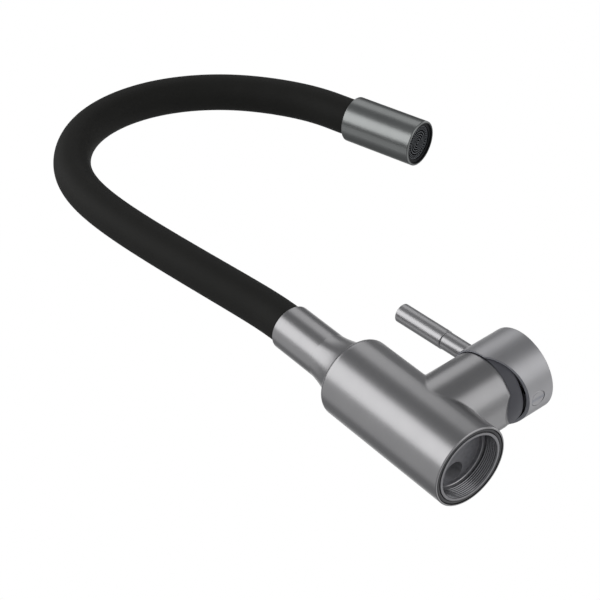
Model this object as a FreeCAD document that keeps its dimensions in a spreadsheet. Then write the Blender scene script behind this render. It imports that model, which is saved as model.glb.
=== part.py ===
import FreeCAD, Part
import Sketcher
import math
import os

# Kitchen mixer tap with a swivelling neck and a bendable hose spout.
#
# Millimetres and degrees. The origin is the middle of the body's foot, +Z is up, and +X is the way
# that the branch, the handle and the spout's reach all point. The tap is symmetric about the XZ plane.

# Driving sizes
SIZES = {
    # body
    "body_radius": 25.0,
    "body_height": 98.4,
    "body_shoulder": 4.0,
    "foot_chamfer": 0.4,
    "branch_height": 40.0,
    "branch_radius": 23.95,
    "branch_end": 49.2,
    "branch_rounding": 4.0,
    "relief_depth": 8.2,
    "relief_rise": 3.9,
    # foot
    "foot_wall": 5.0,
    "shank_thread_depth": 9.6,
    "ledge_chamfer": 0.4,
    "recess_step": 1.9,
    "recess_depth": 12.0,
    "groove_inset": 1.0,
    "groove_width": 2.6,
    "groove_depth": 2.5,
    "seal_play": 0.15,
    # waterways
    "inlet_spread": 11.65,
    "inlet_offset": 1.1,
    "inlet_mouth_radius": 6.3,
    "inlet_mouth_depth": 9.0,
    "inlet_thread_radius": 5.0,
    "inlet_thread_depth": 9.0,
    "inlet_bore_radius": 3.5,
    "body_port_spread": 9.0,
    "body_port_rise": 4.0,
    "body_port_radius": 3.0,
    "inlet_bore_overrun": 5.0,
    "outlet_bore_radius": 4.5,
    "outlet_port_drop": 2.6,
    # neck bearing in the body
    "neck_bore_radius": 15.0,
    "neck_bore_depth": 28.3,
    "tail_gap": 0.5,
    "tail_play": 0.4,
    "tail_waist_depth": 1.8,
    "tail_land": 0.4,
    "bush_play": 0.05,
    "bush_length": 14.0,
    "bush_drop": 1.0,
    "bush_slot": 1.5,
    "washer_thickness": 0.5,
    "washer_inset": 0.2,
    "snap_ring_drop": 1.9,
    "snap_ring_thickness": 1.2,
    "snap_ring_depth": 1.0,
    "snap_ring_play": 0.2,
    "snap_ring_opening": 4.0,
    "neck_ring_section": 1.2,
    "neck_ring_play": 0.1,
    "neck_ring_rise": 2.4,
    "neck_ring_pitch": 4.0,
    # neck collar
    "collar_wall": 1.77,
    "collar_height": 55.3,
    "collar_edge": 0.6,
    "flare_width": 5.23,
    "flare_lip": 0.5,
    "flare_height": 20.5,
    "flare_curve": 80.0,
    # hose
    "hose_radius": 12.325,
    "cover_wall": 2.2,
    "core_wall": 2.3,
    "tube_wall": 2.6,
    "layer_play": 0.1,
    "hose_socket_play": 0.175,
    "hose_in_collar": 18.2,
    "ball_margin": 1.675,
    "ball_play": 0.15,
    "fitting_flange_length": 2.0,
    "fitting_thread_radius": 9.0,
    "fitting_thread_length": 8.0,
    "fitting_thread_play": 0.1,
    "fitting_barb_length": 16.0,
    "fitting_barb_play": 0.1,
    "fitting_bore_radius": 3.2,
    # outlet
    "sleeve_wall": 3.0,
    "sleeve_overlap": 8.6,
    "sleeve_reach": 44.8,
    "sleeve_edge": 0.8,
    "mixing_bore_radius": 10.0,
    "mixing_bore_length": 18.0,
    "aerator_inset": 1.5,
    "aerator_play": 0.1,
    "aerator_recess": 1.2,
    "aerator_wall": 2.25,
    "aerator_seal_thickness": 1.6,
    "aerator_floor": 1.5,
    "insert_thickness": 3.0,
    "insert_recess": 0.8,
    "cell_width": 1.25,
    "cell_length": 1.5,
    "cell_ring_first": 4.0,
    "cell_ring_pitch": 3.0,
    "inlet_slot_radius": 6.5,
    # cartridge
    "cartridge_radius": 17.5,
    "cartridge_play": 0.2,
    "housing_wall": 1.5,
    "housing_foot_gap": 0.1,
    "seal_stand_off": 0.5,
    "seal_sink": 0.8,
    "seal_squeeze": 0.02,
    "port_seal_wall": 1.0,
    "base_thickness": 4.5,
    "base_port_spread": 7.5,
    "base_port_rise": 3.8,
    "base_port_radius": 3.0,
    "base_outlet_radius": 4.2,
    "disc_thickness": 4.0,
    "fixed_disc_play": 0.5,
    "moving_disc_play": 0.4,
    "disc_port_spread": 6.0,
    "disc_port_rise": 3.5,
    "disc_port_radius": 2.3,
    "disc_outlet_radius": 3.6,
    "disc_film": 0.02,
    "disc_rest_drop": 3.6,
    "chamber_width": 15.0,
    "chamber_top": 0.3,
    "chamber_bottom": 8.5,
    "chamber_depth": 2.5,
    "carrier_thickness": 6.0,
    "pocket_half_width": 2.6,
    "pocket_half_height": 2.85,
    "rotor_play": 0.2,
    "rotor_disc_thickness": 2.0,
    "rotor_neck_radius": 11.1,
    "rotor_bearing_play": 0.05,
    "rotor_top": 3.0,
    "rotor_slot": 8.4,
    "arm_slot": 6.0,
    "arm_slot_low": 3.0,
    "arm_slot_high": 9.0,
    "housing_shoulder": 2.0,
    "housing_neck_radius": 14.0,
    "housing_neck_length": 8.0,
    "nut_thread_radius": 20.0,
    "nut_play": 0.15,
    "nut_length": 3.0,
    "nut_gap": 0.18,
    "nut_slot": 4.0,
    "pivot_offset": 1.8,
    "pin_radius": 2.0,
    "pin_play": 0.05,
    "pin_length": 20.0,
    "spindle_square": 8.0,
    "spindle_top": 21.0,
    "spindle_root": 4.0,
    "arm_root_radius": 3.0,
    "arm_tip_radius": 1.5,
    "arm_length": 19.4,
    "arm_ball_radius": 2.5,
    # dome under the handle
    "dome_radius": 23.7,
    "dome_wall": 1.7,
    "dome_top": 4.0,
    "dome_collar_inset": 2.8,
    "dome_collar_wall": 1.5,
    "dome_collar_length": 6.6,
    "dome_seat_gap": 0.1,
    # handle
    "cap_wall": 1.08,
    "cap_overlap": 4.1,
    "cap_length": 30.2,
    "cap_edge": 1.2,
    "cap_cavity_play": 0.4,
    "cap_roof": 13.5,
    "cap_slant": 11.6,
    "cap_slant_curve": 80.0,
    "hub_radius": 9.0,
    "hub_length": 4.6,
    "socket_play": 0.1,
    "socket_end_play": 0.5,
    "lever_inset": 13.71,
    "lever_lean": 4.2,
    "stem_radius": 5.65,
    "stem_start": 24.4,
    "stem_spigot_radius": 4.0,
    "stem_spigot_start": 13.0,
    "stem_boss_radius": 6.4,
    "stem_boss_start": 12.0,
    "stem_fit": 0.05,
    "grip_radius": 6.0,
    "grip_start": 45.6,
    "grip_end": 81.4,
    "grip_edge": 0.5,
    "grip_groove": 0.4,
    "grip_groove_depth": 0.35,
    "grip_spigot_radius": 3.5,
    "grip_spigot_length": 14.5,
    "grub_inset": 12.0,
    "grub_radius": 2.5,
    "grub_length": 12.0,
    "grub_key_radius": 1.25,
    "grub_key_depth": 2.5,
    "plug_radius": 5.0,
    "plug_depth": 2.8,
    "plug_sink": 0.25,
    "plug_edge": 0.6,
    "plug_fit": 0.05,
}

# The hose's route: how far out along X, and how high above the lower fitting's flange, each corner is
HOSE_CORNERS = [
    (0.0, 0.0),
    (0.0, 42.0),
    (-7.5, 88.5),
    (-14.5, 145.5),
    (-19.0, 202.0),
    (-3.5, 254.5),
    (47.0, 281.5),
    (106.5, 261.5),
    (144.5, 216.5),
    (160.0, 187.0),
    (169.5, 151.0),
]

# The hose bends in the middle of these runs of the route
BENDING_RUNS = [2, 4, 6, 8]

# Cells in each ring of the jet former, from the middle outwards
CELL_COUNTS = (8, 14, 20)

# Each corner's arc takes this share of the shorter of the two runs that it joins
ARC_SHARE = 0.45

document = FreeCAD.newDocument("KitchenMixerTap")
sheet = document.addObject("Spreadsheet::Sheet", "Sizes")
for row, (name, value) in enumerate(SIZES.items(), start=1):
    sheet.set(f"A{row}", name)
    sheet.set(f"B{row}", str(value))
    sheet.setAlias(f"B{row}", name)
document.recompute()


class Length:
    """A size that knows its number and the sheet expression that gives it."""

    def __init__(self, value, text):
        self.value = value
        self.text = text

    def combined(self, other, sign, value):
        return Length(value, f"({self.text} {sign} {other.text})")

    def __add__(self, other):
        other = as_length(other)
        return self.combined(other, "+", self.value + other.value)

    def __sub__(self, other):
        other = as_length(other)
        return self.combined(other, "-", self.value - other.value)

    def __mul__(self, other):
        other = as_length(other)
        return self.combined(other, "*", self.value * other.value)

    def __truediv__(self, other):
        other = as_length(other)
        return self.combined(other, "/", self.value / other.value)

    def __neg__(self):
        return Length(-self.value, f"(0 - {self.text})")

    def root(self):
        return Length(math.sqrt(self.value), f"sqrt({self.text})")


def as_length(value):
    if isinstance(value, Length):
        return value
    return Length(float(value), repr(float(value)))


def size(name):
    return Length(SIZES[name], f"Sizes.{name}")


def side(hypotenuse, other):
    """The third side of a right-angled triangle: where a sphere's section stands at a distance."""
    return (hypotenuse * hypotenuse - other * other).root()


# Where each sub-part is kept until it is written
nodes = {}


def named(feature, node):
    feature.Label = node
    nodes[node] = feature
    return feature


def bind(feature, prop, value):
    value = as_length(value)
    feature.setExpression(prop, value.text)


def place(feature, base=(0, 0, 0), axis=None, angle=0):
    """Puts a feature at a bound point, turned by a bound angle about an axis."""
    rotation = FreeCAD.Rotation(FreeCAD.Vector(*(axis or (0, 0, 1))), as_length(angle).value)
    point = FreeCAD.Vector(*(as_length(part).value for part in base))
    feature.Placement = FreeCAD.Placement(point, rotation)
    for prop, part in zip("xyz", base):
        if isinstance(part, Length):
            bind(feature, f"Placement.Base.{prop}", part)
    if isinstance(angle, Length):
        bind(feature, "Placement.Rotation.Angle", angle)
    return feature


# How a primitive's own Z axis is turned to lie along another direction
ALONG = {
    "x": ((0, 1, 0), 90),
    "-x": ((0, 1, 0), -90),
    "y": ((1, 0, 0), -90),
    "z": (None, 0),
    "-z": ((1, 0, 0), 180),
}


def cylinder(name, radius, height, base=(0, 0, 0), along="z"):
    feature = document.addObject("Part::Cylinder", name)
    bind(feature, "Radius", radius)
    bind(feature, "Height", height)
    axis, angle = ALONG[along]
    return place(feature, base, axis, angle)


def block(name, low, high):
    """A box between two corners."""
    feature = document.addObject("Part::Box", name)
    extent = [as_length(b) - as_length(a) for a, b in zip(low, high)]
    for prop, part in zip(("Length", "Width", "Height"), extent):
        bind(feature, prop, part)
    return place(feature, [as_length(part) for part in low])


def ball(name, radius, base):
    feature = document.addObject("Part::Sphere", name)
    bind(feature, "Radius", radius)
    return place(feature, base)


def cone(name, radius, top_radius, height, base, along="z"):
    feature = document.addObject("Part::Cone", name)
    bind(feature, "Radius1", radius)
    bind(feature, "Radius2", top_radius)
    bind(feature, "Height", height)
    axis, angle = ALONG[along]
    return place(feature, base, axis, angle)


def ring(name, radius, section, base):
    feature = document.addObject("Part::Torus", name)
    bind(feature, "Radius1", radius)
    bind(feature, "Radius2", section)
    return place(feature, base)


def joined(name, pieces):
    feature = document.addObject("Part::MultiFuse", name)
    feature.Shapes = pieces
    return feature


def cut(name, base, tools):
    feature = document.addObject("Part::Cut", name)
    feature.Base = base
    feature.Tool = tools[0] if len(tools) == 1 else joined(name + "_tools", tools)
    return feature


def group(name, pieces):
    feature = document.addObject("Part::Compound", name)
    feature.Links = pieces
    return feature


def draw(sketch, outline):
    """Draws a closed outline and binds every corner to the sheet.

    A corner is (across, up), or (across, up, radius, turn) where an arc of that radius leads to it
    from the corner before, with turn 1 for an arc that bends to the left and -1 to the right.
    """
    points = [FreeCAD.Vector(as_length(c[0]).value, as_length(c[1]).value, 0) for c in outline]
    count = len(outline)
    starts = {}
    ends = {}
    for index, corner in enumerate(outline):
        before = (index - 1) % count
        start, end = points[before], points[index]
        if len(corner) == 2:
            edge = sketch.addGeometry(Part.LineSegment(start, end))
            starts[before], ends[index] = (edge, 1), (edge, 2)
            continue
        radius, turn = as_length(corner[2]), corner[3]
        chord = end - start
        rise = math.sqrt(radius.value**2 - (chord.Length / 2) ** 2)
        left = FreeCAD.Vector(-chord.y, chord.x, 0).normalize()
        centre = (start + end) / 2 + left * rise * turn
        first, last = (start, end) if turn > 0 else (end, start)
        low = math.atan2(first.y - centre.y, first.x - centre.x)
        high = math.atan2(last.y - centre.y, last.x - centre.x)
        circle = Part.Circle(centre, FreeCAD.Vector(0, 0, 1), radius.value)
        edge = sketch.addGeometry(Part.ArcOfCircle(circle, low, high))
        starts[before], ends[index] = ((edge, 1), (edge, 2)) if turn > 0 else ((edge, 2), (edge, 1))
        number = sketch.addConstraint(Sketcher.Constraint("Radius", edge, radius.value))
        sketch.setExpression(f"Constraints[{number}]", radius.text)
    for index, corner in enumerate(outline):
        sketch.addConstraint(Sketcher.Constraint("Coincident", *ends[index], *starts[index]))
        pin_point(sketch, starts[index], corner[0], corner[1])


def pin_point(sketch, point, across, up):
    """Fixes a sketch point at bound distances from the sketch's origin."""
    for kind, axis, distance in (("DistanceX", -2, across), ("DistanceY", -1, up)):
        if not isinstance(distance, Length) and distance == 0:
            sketch.addConstraint(Sketcher.Constraint("PointOnObject", *point, axis))
            continue
        distance = as_length(distance)
        number = sketch.addConstraint(Sketcher.Constraint(kind, -1, 1, *point, distance.value))
        sketch.setExpression(f"Constraints[{number}]", distance.text)


def origin_plane(body, role):
    return next(part for part in body.Origin.OriginFeatures if part.Role == role)


def body_sketch(body, name, role):
    sketch = body.newObject("Sketcher::SketchObject", name)
    sketch.AttachmentSupport = [(origin_plane(body, role), "")]
    sketch.MapMode = "FlatFace"
    return sketch


def turned(name, outline, base=(0, 0, 0), axis=None, angle=0):
    """A turned piece: a body whose half section is revolved about its own Z axis."""
    body = document.addObject("PartDesign::Body", name)
    sketch = body_sketch(body, name + "_section", "XZ_Plane")
    draw(sketch, outline)
    turning = body.newObject("PartDesign::Revolution", name + "_turning")
    turning.Profile = sketch
    turning.ReferenceAxis = (sketch, ["V_Axis"])
    turning.Angle = 360
    place(body, base, axis, angle)
    document.recompute()
    return body


def eased(body, kind, amount, rims):
    """Rounds or chamfers the turned edges that stand at these radii and heights in the body's frame."""
    base = body.Tip
    wanted = [(as_length(r).value, as_length(z).value) for r, z in rims]
    names = []
    for number, edge in enumerate(base.Shape.Edges, start=1):
        if not isinstance(edge.Curve, Part.Circle):
            continue
        radius, height = edge.Curve.Radius, edge.Curve.Center.z
        if any(abs(radius - r) < 1e-4 and abs(height - z) < 1e-4 for r, z in wanted):
            names.append(f"Edge{number}")
    if not names:
        raise ValueError(f"{body.Name} has no edge at {wanted}")
    feature = body.newObject(f"PartDesign::{kind}", f"{body.Name}_{kind}")
    feature.Base = (base, names)
    bind(feature, "Radius" if kind == "Fillet" else "Size", amount)
    document.recompute()
    return body


def plate(name, outline, low, high):
    """An outline in the XZ plane, extruded along Y from low to high."""
    sketch = document.addObject("Sketcher::SketchObject", name + "_outline")
    sketch.Placement = FreeCAD.Placement(
        FreeCAD.Vector(0, 0, 0), FreeCAD.Rotation(FreeCAD.Vector(1, 0, 0), 90)
    )
    draw(sketch, outline)
    feature = document.addObject("Part::Extrusion", name)
    feature.Base = sketch
    feature.DirMode = "Custom"
    feature.Dir = FreeCAD.Vector(0, 1, 0)
    bind(feature, "LengthFwd", high)
    bind(feature, "LengthRev", -as_length(low))
    feature.Solid = True
    return feature


def on_branch(across=0, up=0, out=0):
    """A point given from the branch's axis: out along it from the body's axis, across along Y, and up."""
    return (as_length(out), as_length(across), size("branch_height") + up)


def pocket_ring(body, name, outline, count):
    """Cuts one outline through a disc and repeats it round the axis."""
    sketch = body_sketch(body, name + "_cell", "XY_Plane")
    draw(sketch, outline)
    pocket = body.newObject("PartDesign::Pocket", name)
    pocket.Profile = sketch
    pocket.Type = "ThroughAll"
    pocket.SideType = "Symmetric"
    document.recompute()
    pattern = body.newObject("PartDesign::PolarPattern", name + "_pattern")
    pattern.Originals = [pocket]
    pattern.Axis = (sketch, ["N_Axis"])
    pattern.Angle = 360
    pattern.Occurrences = count
    body.Tip = pattern
    document.recompute()
    return body


# Places along the branch: the cartridge is stacked inwards from the dome's collar in the branch's end
dome_collar_start = size("branch_end") - size("dome_collar_length")
nut_end = dome_collar_start - size("nut_gap")
housing_top = nut_end - size("nut_length")
cavity_end = housing_top - size("housing_shoulder")
rotor_disc_end = cavity_end - size("rotor_play")
rotor_start = rotor_disc_end - size("rotor_disc_thickness")
carrier_start = rotor_start - size("rotor_play") - size("carrier_thickness")
moving_disc_start = carrier_start - size("disc_thickness")
fixed_disc_start = moving_disc_start - size("disc_film") - size("disc_thickness")
base_start = fixed_disc_start - size("base_thickness")
seat = base_start - size("seal_stand_off")
pivot = size("branch_end") + size("pivot_offset")
rotor_end = pivot + size("rotor_top")
cap_rim = pivot - size("cap_overlap")
cap_end = cap_rim + size("cap_length")
cap_floor = cap_end - size("cap_roof")
hub_start = cap_floor - size("hub_length")
lever_position = cap_end - size("lever_inset")
grub_position = cap_end - size("grub_inset")

# Radii round the branch's axis
housing_inner = size("cartridge_radius") - size("housing_wall")
moving_disc_radius = housing_inner - size("disc_rest_drop") - size("moving_disc_play")
dome_collar_radius = size("dome_radius") - size("dome_collar_inset")
cavity_radius = size("dome_radius") + size("cap_cavity_play")
cap_radius = cavity_radius + size("cap_wall")

# Radii of the foot
shank_radius = size("body_radius") - size("foot_wall")
recess_radius = shank_radius - size("recess_step")
groove_outer_radius = size("body_radius") - size("groove_inset")
groove_inner_radius = groove_outer_radius - size("groove_width")

# Places up the neck
neck_bore_floor = size("body_height") - size("neck_bore_depth")
bush_start = size("body_height") - size("bush_drop") - size("bush_length")
snap_start = bush_start - size("snap_ring_drop") - size("snap_ring_thickness")
snap_groove_start = snap_start - size("snap_ring_play")
snap_groove_end = snap_start + size("snap_ring_thickness") + size("snap_ring_play")
tail_foot = neck_bore_floor + size("tail_gap")
tail_shoulder = snap_groove_end + size("tail_land")
collar_seat = size("body_height") + size("washer_thickness")
collar_top = collar_seat + size("collar_height")
hose_foot = collar_top - size("hose_in_collar")

# Radii of the neck, the hose and the outlet
tail_radius = size("neck_bore_radius") - size("tail_play")
waist_radius = size("neck_bore_radius") - size("tail_waist_depth")
flange_radius = size("hose_radius") - size("layer_play")
socket_radius = size("hose_radius") + size("hose_socket_play")
collar_radius = socket_radius + size("collar_wall")
flare_radius = collar_radius + size("flare_width")
ball_radius = size("hose_radius") + size("ball_margin")
sleeve_radius = socket_radius + size("sleeve_wall")
aerator_radius = sleeve_radius - size("aerator_inset")

# The hose's route in the XZ plane, from the lower fitting's flange into the outlet's sleeve
HOSE_ROUTE = [(out, hose_foot.value + rise) for out, rise in HOSE_CORNERS]


def branch_relief(name):
    """The wedge that is cut away below the branch's end, so that the tilted cap's rim clears it."""
    start, end = size("branch_end") - size("relief_depth"), size("branch_end")
    bottom, rise = size("branch_height") - size("branch_radius"), size("relief_rise")
    beyond = end + size("relief_depth")
    outline = [(start, bottom), (end, bottom + rise), (beyond, bottom + rise)]
    outline += [(beyond, bottom - rise), (start, bottom - rise)]
    return plate(name, outline, -size("body_radius"), size("body_radius"))


def make_body():
    """The body: column and branch in one piece, with its foot, waterways, neck bore and cartridge bore."""
    radius, height = size("body_radius"), size("body_height")
    column = turned("column", [(0, 0), (radius, 0), (radius, height), (0, height)])
    eased(column, "Fillet", size("body_shoulder"), [(radius, height)])
    eased(column, "Chamfer", size("foot_chamfer"), [(radius, 0)])
    side_radius, side_end = size("branch_radius"), size("branch_end")
    branch = turned(
        "branch",
        [(0, 0), (side_radius, 0), (side_radius, side_end), (0, side_end)],
        on_branch(),
        *ALONG["x"],
    )
    eased(branch, "Fillet", size("branch_rounding"), [(side_radius, side_end)])
    chamfer = size("ledge_chamfer")
    tools = [
        branch_relief("branch_relief"),
        cylinder("shank_thread", shank_radius, size("shank_thread_depth")),
        cone(
            "ledge_edge",
            recess_radius + chamfer,
            recess_radius,
            chamfer,
            (0, 0, size("shank_thread_depth")),
        ),
        cylinder("recess", recess_radius, size("recess_depth")),
        cylinder("neck_bore", size("neck_bore_radius"), size("neck_bore_depth"), (0, 0, neck_bore_floor)),
        cylinder(
            "snap_groove",
            size("neck_bore_radius") + size("snap_ring_depth") + size("snap_ring_play"),
            snap_groove_end - snap_groove_start,
            (0, 0, snap_groove_start),
        ),
        cylinder(
            "rising_outlet",
            size("outlet_bore_radius"),
            neck_bore_floor - size("branch_height") + size("outlet_port_drop"),
            (0, 0, size("branch_height") - size("outlet_port_drop")),
        ),
        cylinder(
            "level_outlet",
            size("outlet_bore_radius"),
            seat,
            on_branch(up=-size("outlet_port_drop")),
            "x",
        ),
        cylinder(
            "cartridge_bore",
            size("cartridge_radius") + size("cartridge_play"),
            housing_top - seat,
            on_branch(out=seat),
            "x",
        ),
        cylinder(
            "nut_thread",
            size("nut_thread_radius"),
            dome_collar_start - housing_top + size("cartridge_play") * 2,
            on_branch(out=housing_top - size("cartridge_play") * 2),
            "x",
        ),
        cylinder(
            "branch_mouth",
            dome_collar_radius + size("dome_seat_gap"),
            size("dome_collar_length"),
            on_branch(out=dome_collar_start),
            "x",
        ),
    ]
    port_level = size("branch_height") + size("body_port_rise")
    behind = size("inlet_offset") * -1
    thread_start = size("recess_depth") + size("inlet_mouth_depth")
    for hand, sign in (("hot", 1), ("cold", -1)):
        spread = size("inlet_spread") * sign
        tools.append(
            cylinder(
                f"{hand}_inlet_mouth",
                size("inlet_mouth_radius"),
                size("inlet_mouth_depth"),
                (behind, spread, size("recess_depth")),
            )
        )
        tools.append(
            cylinder(
                f"{hand}_inlet_thread",
                size("inlet_thread_radius"),
                size("inlet_thread_depth"),
                (behind, spread, thread_start),
            )
        )
        tools.append(
            cylinder(
                f"{hand}_inlet_bore",
                size("inlet_bore_radius"),
                port_level + size("inlet_bore_overrun") - thread_start,
                (behind, spread, thread_start),
            )
        )
        tools.append(
            cylinder(
                f"{hand}_inlet_port",
                size("body_port_radius"),
                seat - behind,
                on_branch(size("body_port_spread") * sign, size("body_port_rise"), behind),
                "x",
            )
        )
    groove = turned(
        "seal_groove",
        [
            (groove_inner_radius, 0),
            (groove_outer_radius, 0),
            (groove_outer_radius, size("groove_depth")),
            (groove_inner_radius, size("groove_depth")),
        ],
    )
    solid = joined("body_solid", [column, branch])
    named(cut("mixer_body", solid, tools + [groove]), "mixer_body")


def make_foot_seal():
    """A round ring that lies against the groove's ceiling and stays clear of the foot's face."""
    half = size("groove_width") / 2
    section = half - size("seal_play")
    seal = ring("base_seal", groove_inner_radius + half, section, (0, 0, size("groove_depth") - section))
    named(seal, "base_seal")


def make_neck_bearing():
    """The split bush, the slide washer and the snap ring, which stay in the body."""
    high = size("body_height") - size("bush_drop")
    low = bush_start
    inner = waist_radius + size("bush_play")
    outer = size("neck_bore_radius") - size("bush_play") / 2
    bush = turned("bush_ring", [(inner, low), (outer, low), (outer, high), (inner, high)])
    half = size("bush_slot") / 2
    slot = block("bush_split", (0, -half, low), (size("neck_bore_radius"), half, high))
    named(cut("split_bush", bush, [slot]), "split_bush")

    washer_inner = waist_radius + size("snap_ring_play")
    low, high = size("body_height"), collar_seat
    outer = flare_radius - size("washer_inset")
    washer = [(washer_inner, low), (outer, low), (outer, high), (washer_inner, high)]
    named(turned("slide_washer", washer), "slide_washer")

    low = snap_start
    high = low + size("snap_ring_thickness")
    inner = waist_radius + size("snap_ring_play")
    outer = size("neck_bore_radius") + size("snap_ring_depth")
    snap = turned("snap_circle", [(inner, low), (outer, low), (outer, high), (inner, high)])
    half = size("snap_ring_opening") / 2
    opening = block("snap_opening", (0, -half, low), (outer, half, high))
    named(cut("snap_ring", snap, [opening]), "snap_ring")


def make_collar():
    """The neck: a tail in the body's bore, a flare that sits on the body and a straight collar."""
    straight, waist, foot = collar_radius, waist_radius, tail_radius
    ring_floor = size("neck_bore_radius") - size("neck_ring_section") * 2 - size("neck_ring_play")
    outline = [(size("outlet_bore_radius"), tail_foot), (foot, tail_foot)]
    half = size("neck_ring_section") + size("neck_ring_play")
    for turn in (0, 1):
        level = tail_foot + size("neck_ring_rise") + size("neck_ring_pitch") * turn
        outline += [(foot, level - half), (ring_floor, level - half)]
        outline += [(ring_floor, level + half), (foot, level + half)]
    outline += [(foot, snap_groove_start), (waist, snap_groove_start)]
    outline += [(waist, snap_groove_end), (foot, snap_groove_end)]
    outline += [(foot, tail_shoulder), (waist, tail_shoulder), (waist, collar_seat)]
    outline += [(flare_radius, collar_seat), (flare_radius, collar_seat + size("flare_lip"))]
    outline += [(straight, collar_seat + size("flare_height"), size("flare_curve"), -1)]
    outline += [(straight, collar_top), (socket_radius, collar_top)]
    socket_floor = hose_foot - size("fitting_flange_length")
    thread_floor = socket_floor - size("fitting_thread_length")
    outline += [(socket_radius, socket_floor), (size("fitting_thread_radius"), socket_floor)]
    outline += [(size("fitting_thread_radius"), thread_floor), (size("outlet_bore_radius"), thread_floor)]
    collar = turned("spout_collar", outline)
    eased(collar, "Fillet", size("collar_edge"), [(straight, collar_top)])
    named(collar, "spout_collar")

    rings = []
    middle_radius = size("neck_bore_radius") - size("neck_ring_section") - size("neck_ring_play") / 2
    for turn in (0, 1):
        level = tail_foot + size("neck_ring_rise") + size("neck_ring_pitch") * turn
        rings.append(ring(f"neck_ring_{turn + 1}", middle_radius, size("neck_ring_section"), (0, 0, level)))
    named(group("collar_o_rings", rings), "collar_o_rings")


def fitting_outline(inner_tube):
    """A hose fitting with its barb up: spigot below, flange, and a barb with three steps in the tube."""
    bore, thread = size("fitting_bore_radius"), size("fitting_thread_radius") - size("fitting_thread_play")
    barb = inner_tube - size("fitting_barb_play")
    root = barb - size("fitting_barb_play") * 3
    length = size("fitting_barb_length")
    low = -size("fitting_flange_length")
    outline = [(bore, low - size("fitting_thread_length")), (thread, low - size("fitting_thread_length"))]
    outline += [(thread, low), (flange_radius, low), (flange_radius, 0), (root, 0)]
    for step in (1, 2, 3):
        level = length * step / 4
        outline += [(root, level), (barb, level)]
    return outline + [(root, length), (bore, length)]


def run_length(start, end):
    return math.hypot(end[0] - start[0], end[1] - start[1])


def middle(start, end):
    return ((start[0] + end[0]) / 2, (start[1] + end[1]) / 2)


def corner_radius(index):
    """The radius of the arc at a corner of the route, and the length that it takes of each run."""
    before, here, after = HOSE_ROUTE[index - 1 : index + 2]
    first = math.atan2(here[1] - before[1], here[0] - before[0])
    second = math.atan2(after[1] - here[1], after[0] - here[0])
    turn = abs((second - first + math.pi) % (2 * math.pi) - math.pi)
    taken = ARC_SHARE * min(run_length(before, here), run_length(here, after))
    return taken / math.tan(turn / 2), taken


def point_towards(start, end, distance):
    share = distance / run_length(start, end)
    return (start[0] + (end[0] - start[0]) * share, start[1] + (end[1] - start[1]) * share)


def in_space(point):
    return FreeCAD.Vector(point[0], 0, point[1])


def route_wire(start, corners, end):
    """Straight runs joined by tangent arcs, from a point on one run to a point on another."""
    edges = []
    last = start
    for index in corners:
        before, here, after = HOSE_ROUTE[index - 1 : index + 2]
        radius, taken = corner_radius(index)
        arc_start = point_towards(here, before, taken)
        arc_end = point_towards(here, after, taken)
        chord_middle = middle(arc_start, arc_end)
        reach = run_length(here, chord_middle)
        half_chord = run_length(arc_start, arc_end) / 2
        sagitta = radius - math.sqrt(radius**2 - half_chord**2)
        arc_middle = point_towards(chord_middle, here, sagitta)
        if reach <= sagitta:
            raise ValueError("an arc of the hose passes its own corner")
        edges.append(Part.LineSegment(in_space(last), in_space(arc_start)).toShape())
        edges.append(Part.Arc(in_space(arc_start), in_space(arc_middle), in_space(arc_end)).toShape())
        last = arc_end
    edges.append(Part.LineSegment(in_space(last), in_space(end)).toShape())
    return Part.Wire(edges)


def heading(run):
    """The direction of a run of the route, as a rotation that turns +Z into it."""
    start, end = HOSE_ROUTE[run], HOSE_ROUTE[run + 1]
    lean = math.degrees(math.atan2(end[0] - start[0], end[1] - start[1]))
    return FreeCAD.Rotation(FreeCAD.Vector(0, 1, 0), lean)


def route_length():
    """The whole route's length, by its runs and arcs."""
    return route_wire(HOSE_ROUTE[0], range(1, len(HOSE_ROUTE) - 1), HOSE_ROUTE[-1]).Length


def sweep(name, radius, spine, start, rotation):
    """A rod of a bound radius along a spine."""
    circle = document.addObject("Part::Circle", name + "_section")
    bind(circle, "Radius", radius)
    circle.Placement = FreeCAD.Placement(in_space(start), rotation)
    rod = document.addObject("Part::Sweep", name)
    rod.Sections = [circle]
    rod.Spine = (spine, [f"Edge{n}" for n in range(1, len(spine.Shape.Edges) + 1)])
    rod.Solid = True
    rod.Frenet = False
    return rod


def hose_layers():
    """Outer and inner radius of the cover, the bendable core and the water tube."""
    cover_outer = size("hose_radius")
    cover_inner = cover_outer - size("cover_wall")
    core_outer = cover_inner - size("layer_play")
    core_inner = core_outer - size("core_wall")
    tube_outer = core_inner - size("layer_play")
    tube_inner = tube_outer - size("tube_wall")
    return {
        "hose_cover": (cover_outer, cover_inner),
        "hose_core": (core_outer, core_inner),
        "water_tube": (tube_outer, tube_inner),
    }


def bending_ball(run, number):
    """The tools that end two lengths of hose in a ball and its socket, round one bending point."""
    centre = in_space(middle(HOSE_ROUTE[run], HOSE_ROUTE[run + 1]))
    back = heading(run).multiply(FreeCAD.Rotation(FreeCAD.Vector(0, 1, 0), 180))
    socket = ball(f"socket_{number}", ball_radius, (0, 0, 0))
    socket.Placement = FreeCAD.Placement(centre, FreeCAD.Rotation())
    kept = ball(f"kept_ball_{number}", ball_radius - size("ball_play"), (0, 0, 0))
    kept.Placement = FreeCAD.Placement(centre, FreeCAD.Rotation())
    upstream = cylinder(f"upstream_{number}", ball_radius * 3, ball_radius * 5)
    upstream.Placement = FreeCAD.Placement(centre, back)
    shaper = cut(f"ball_shaper_{number}", upstream, [kept])
    return socket, shaper


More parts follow.
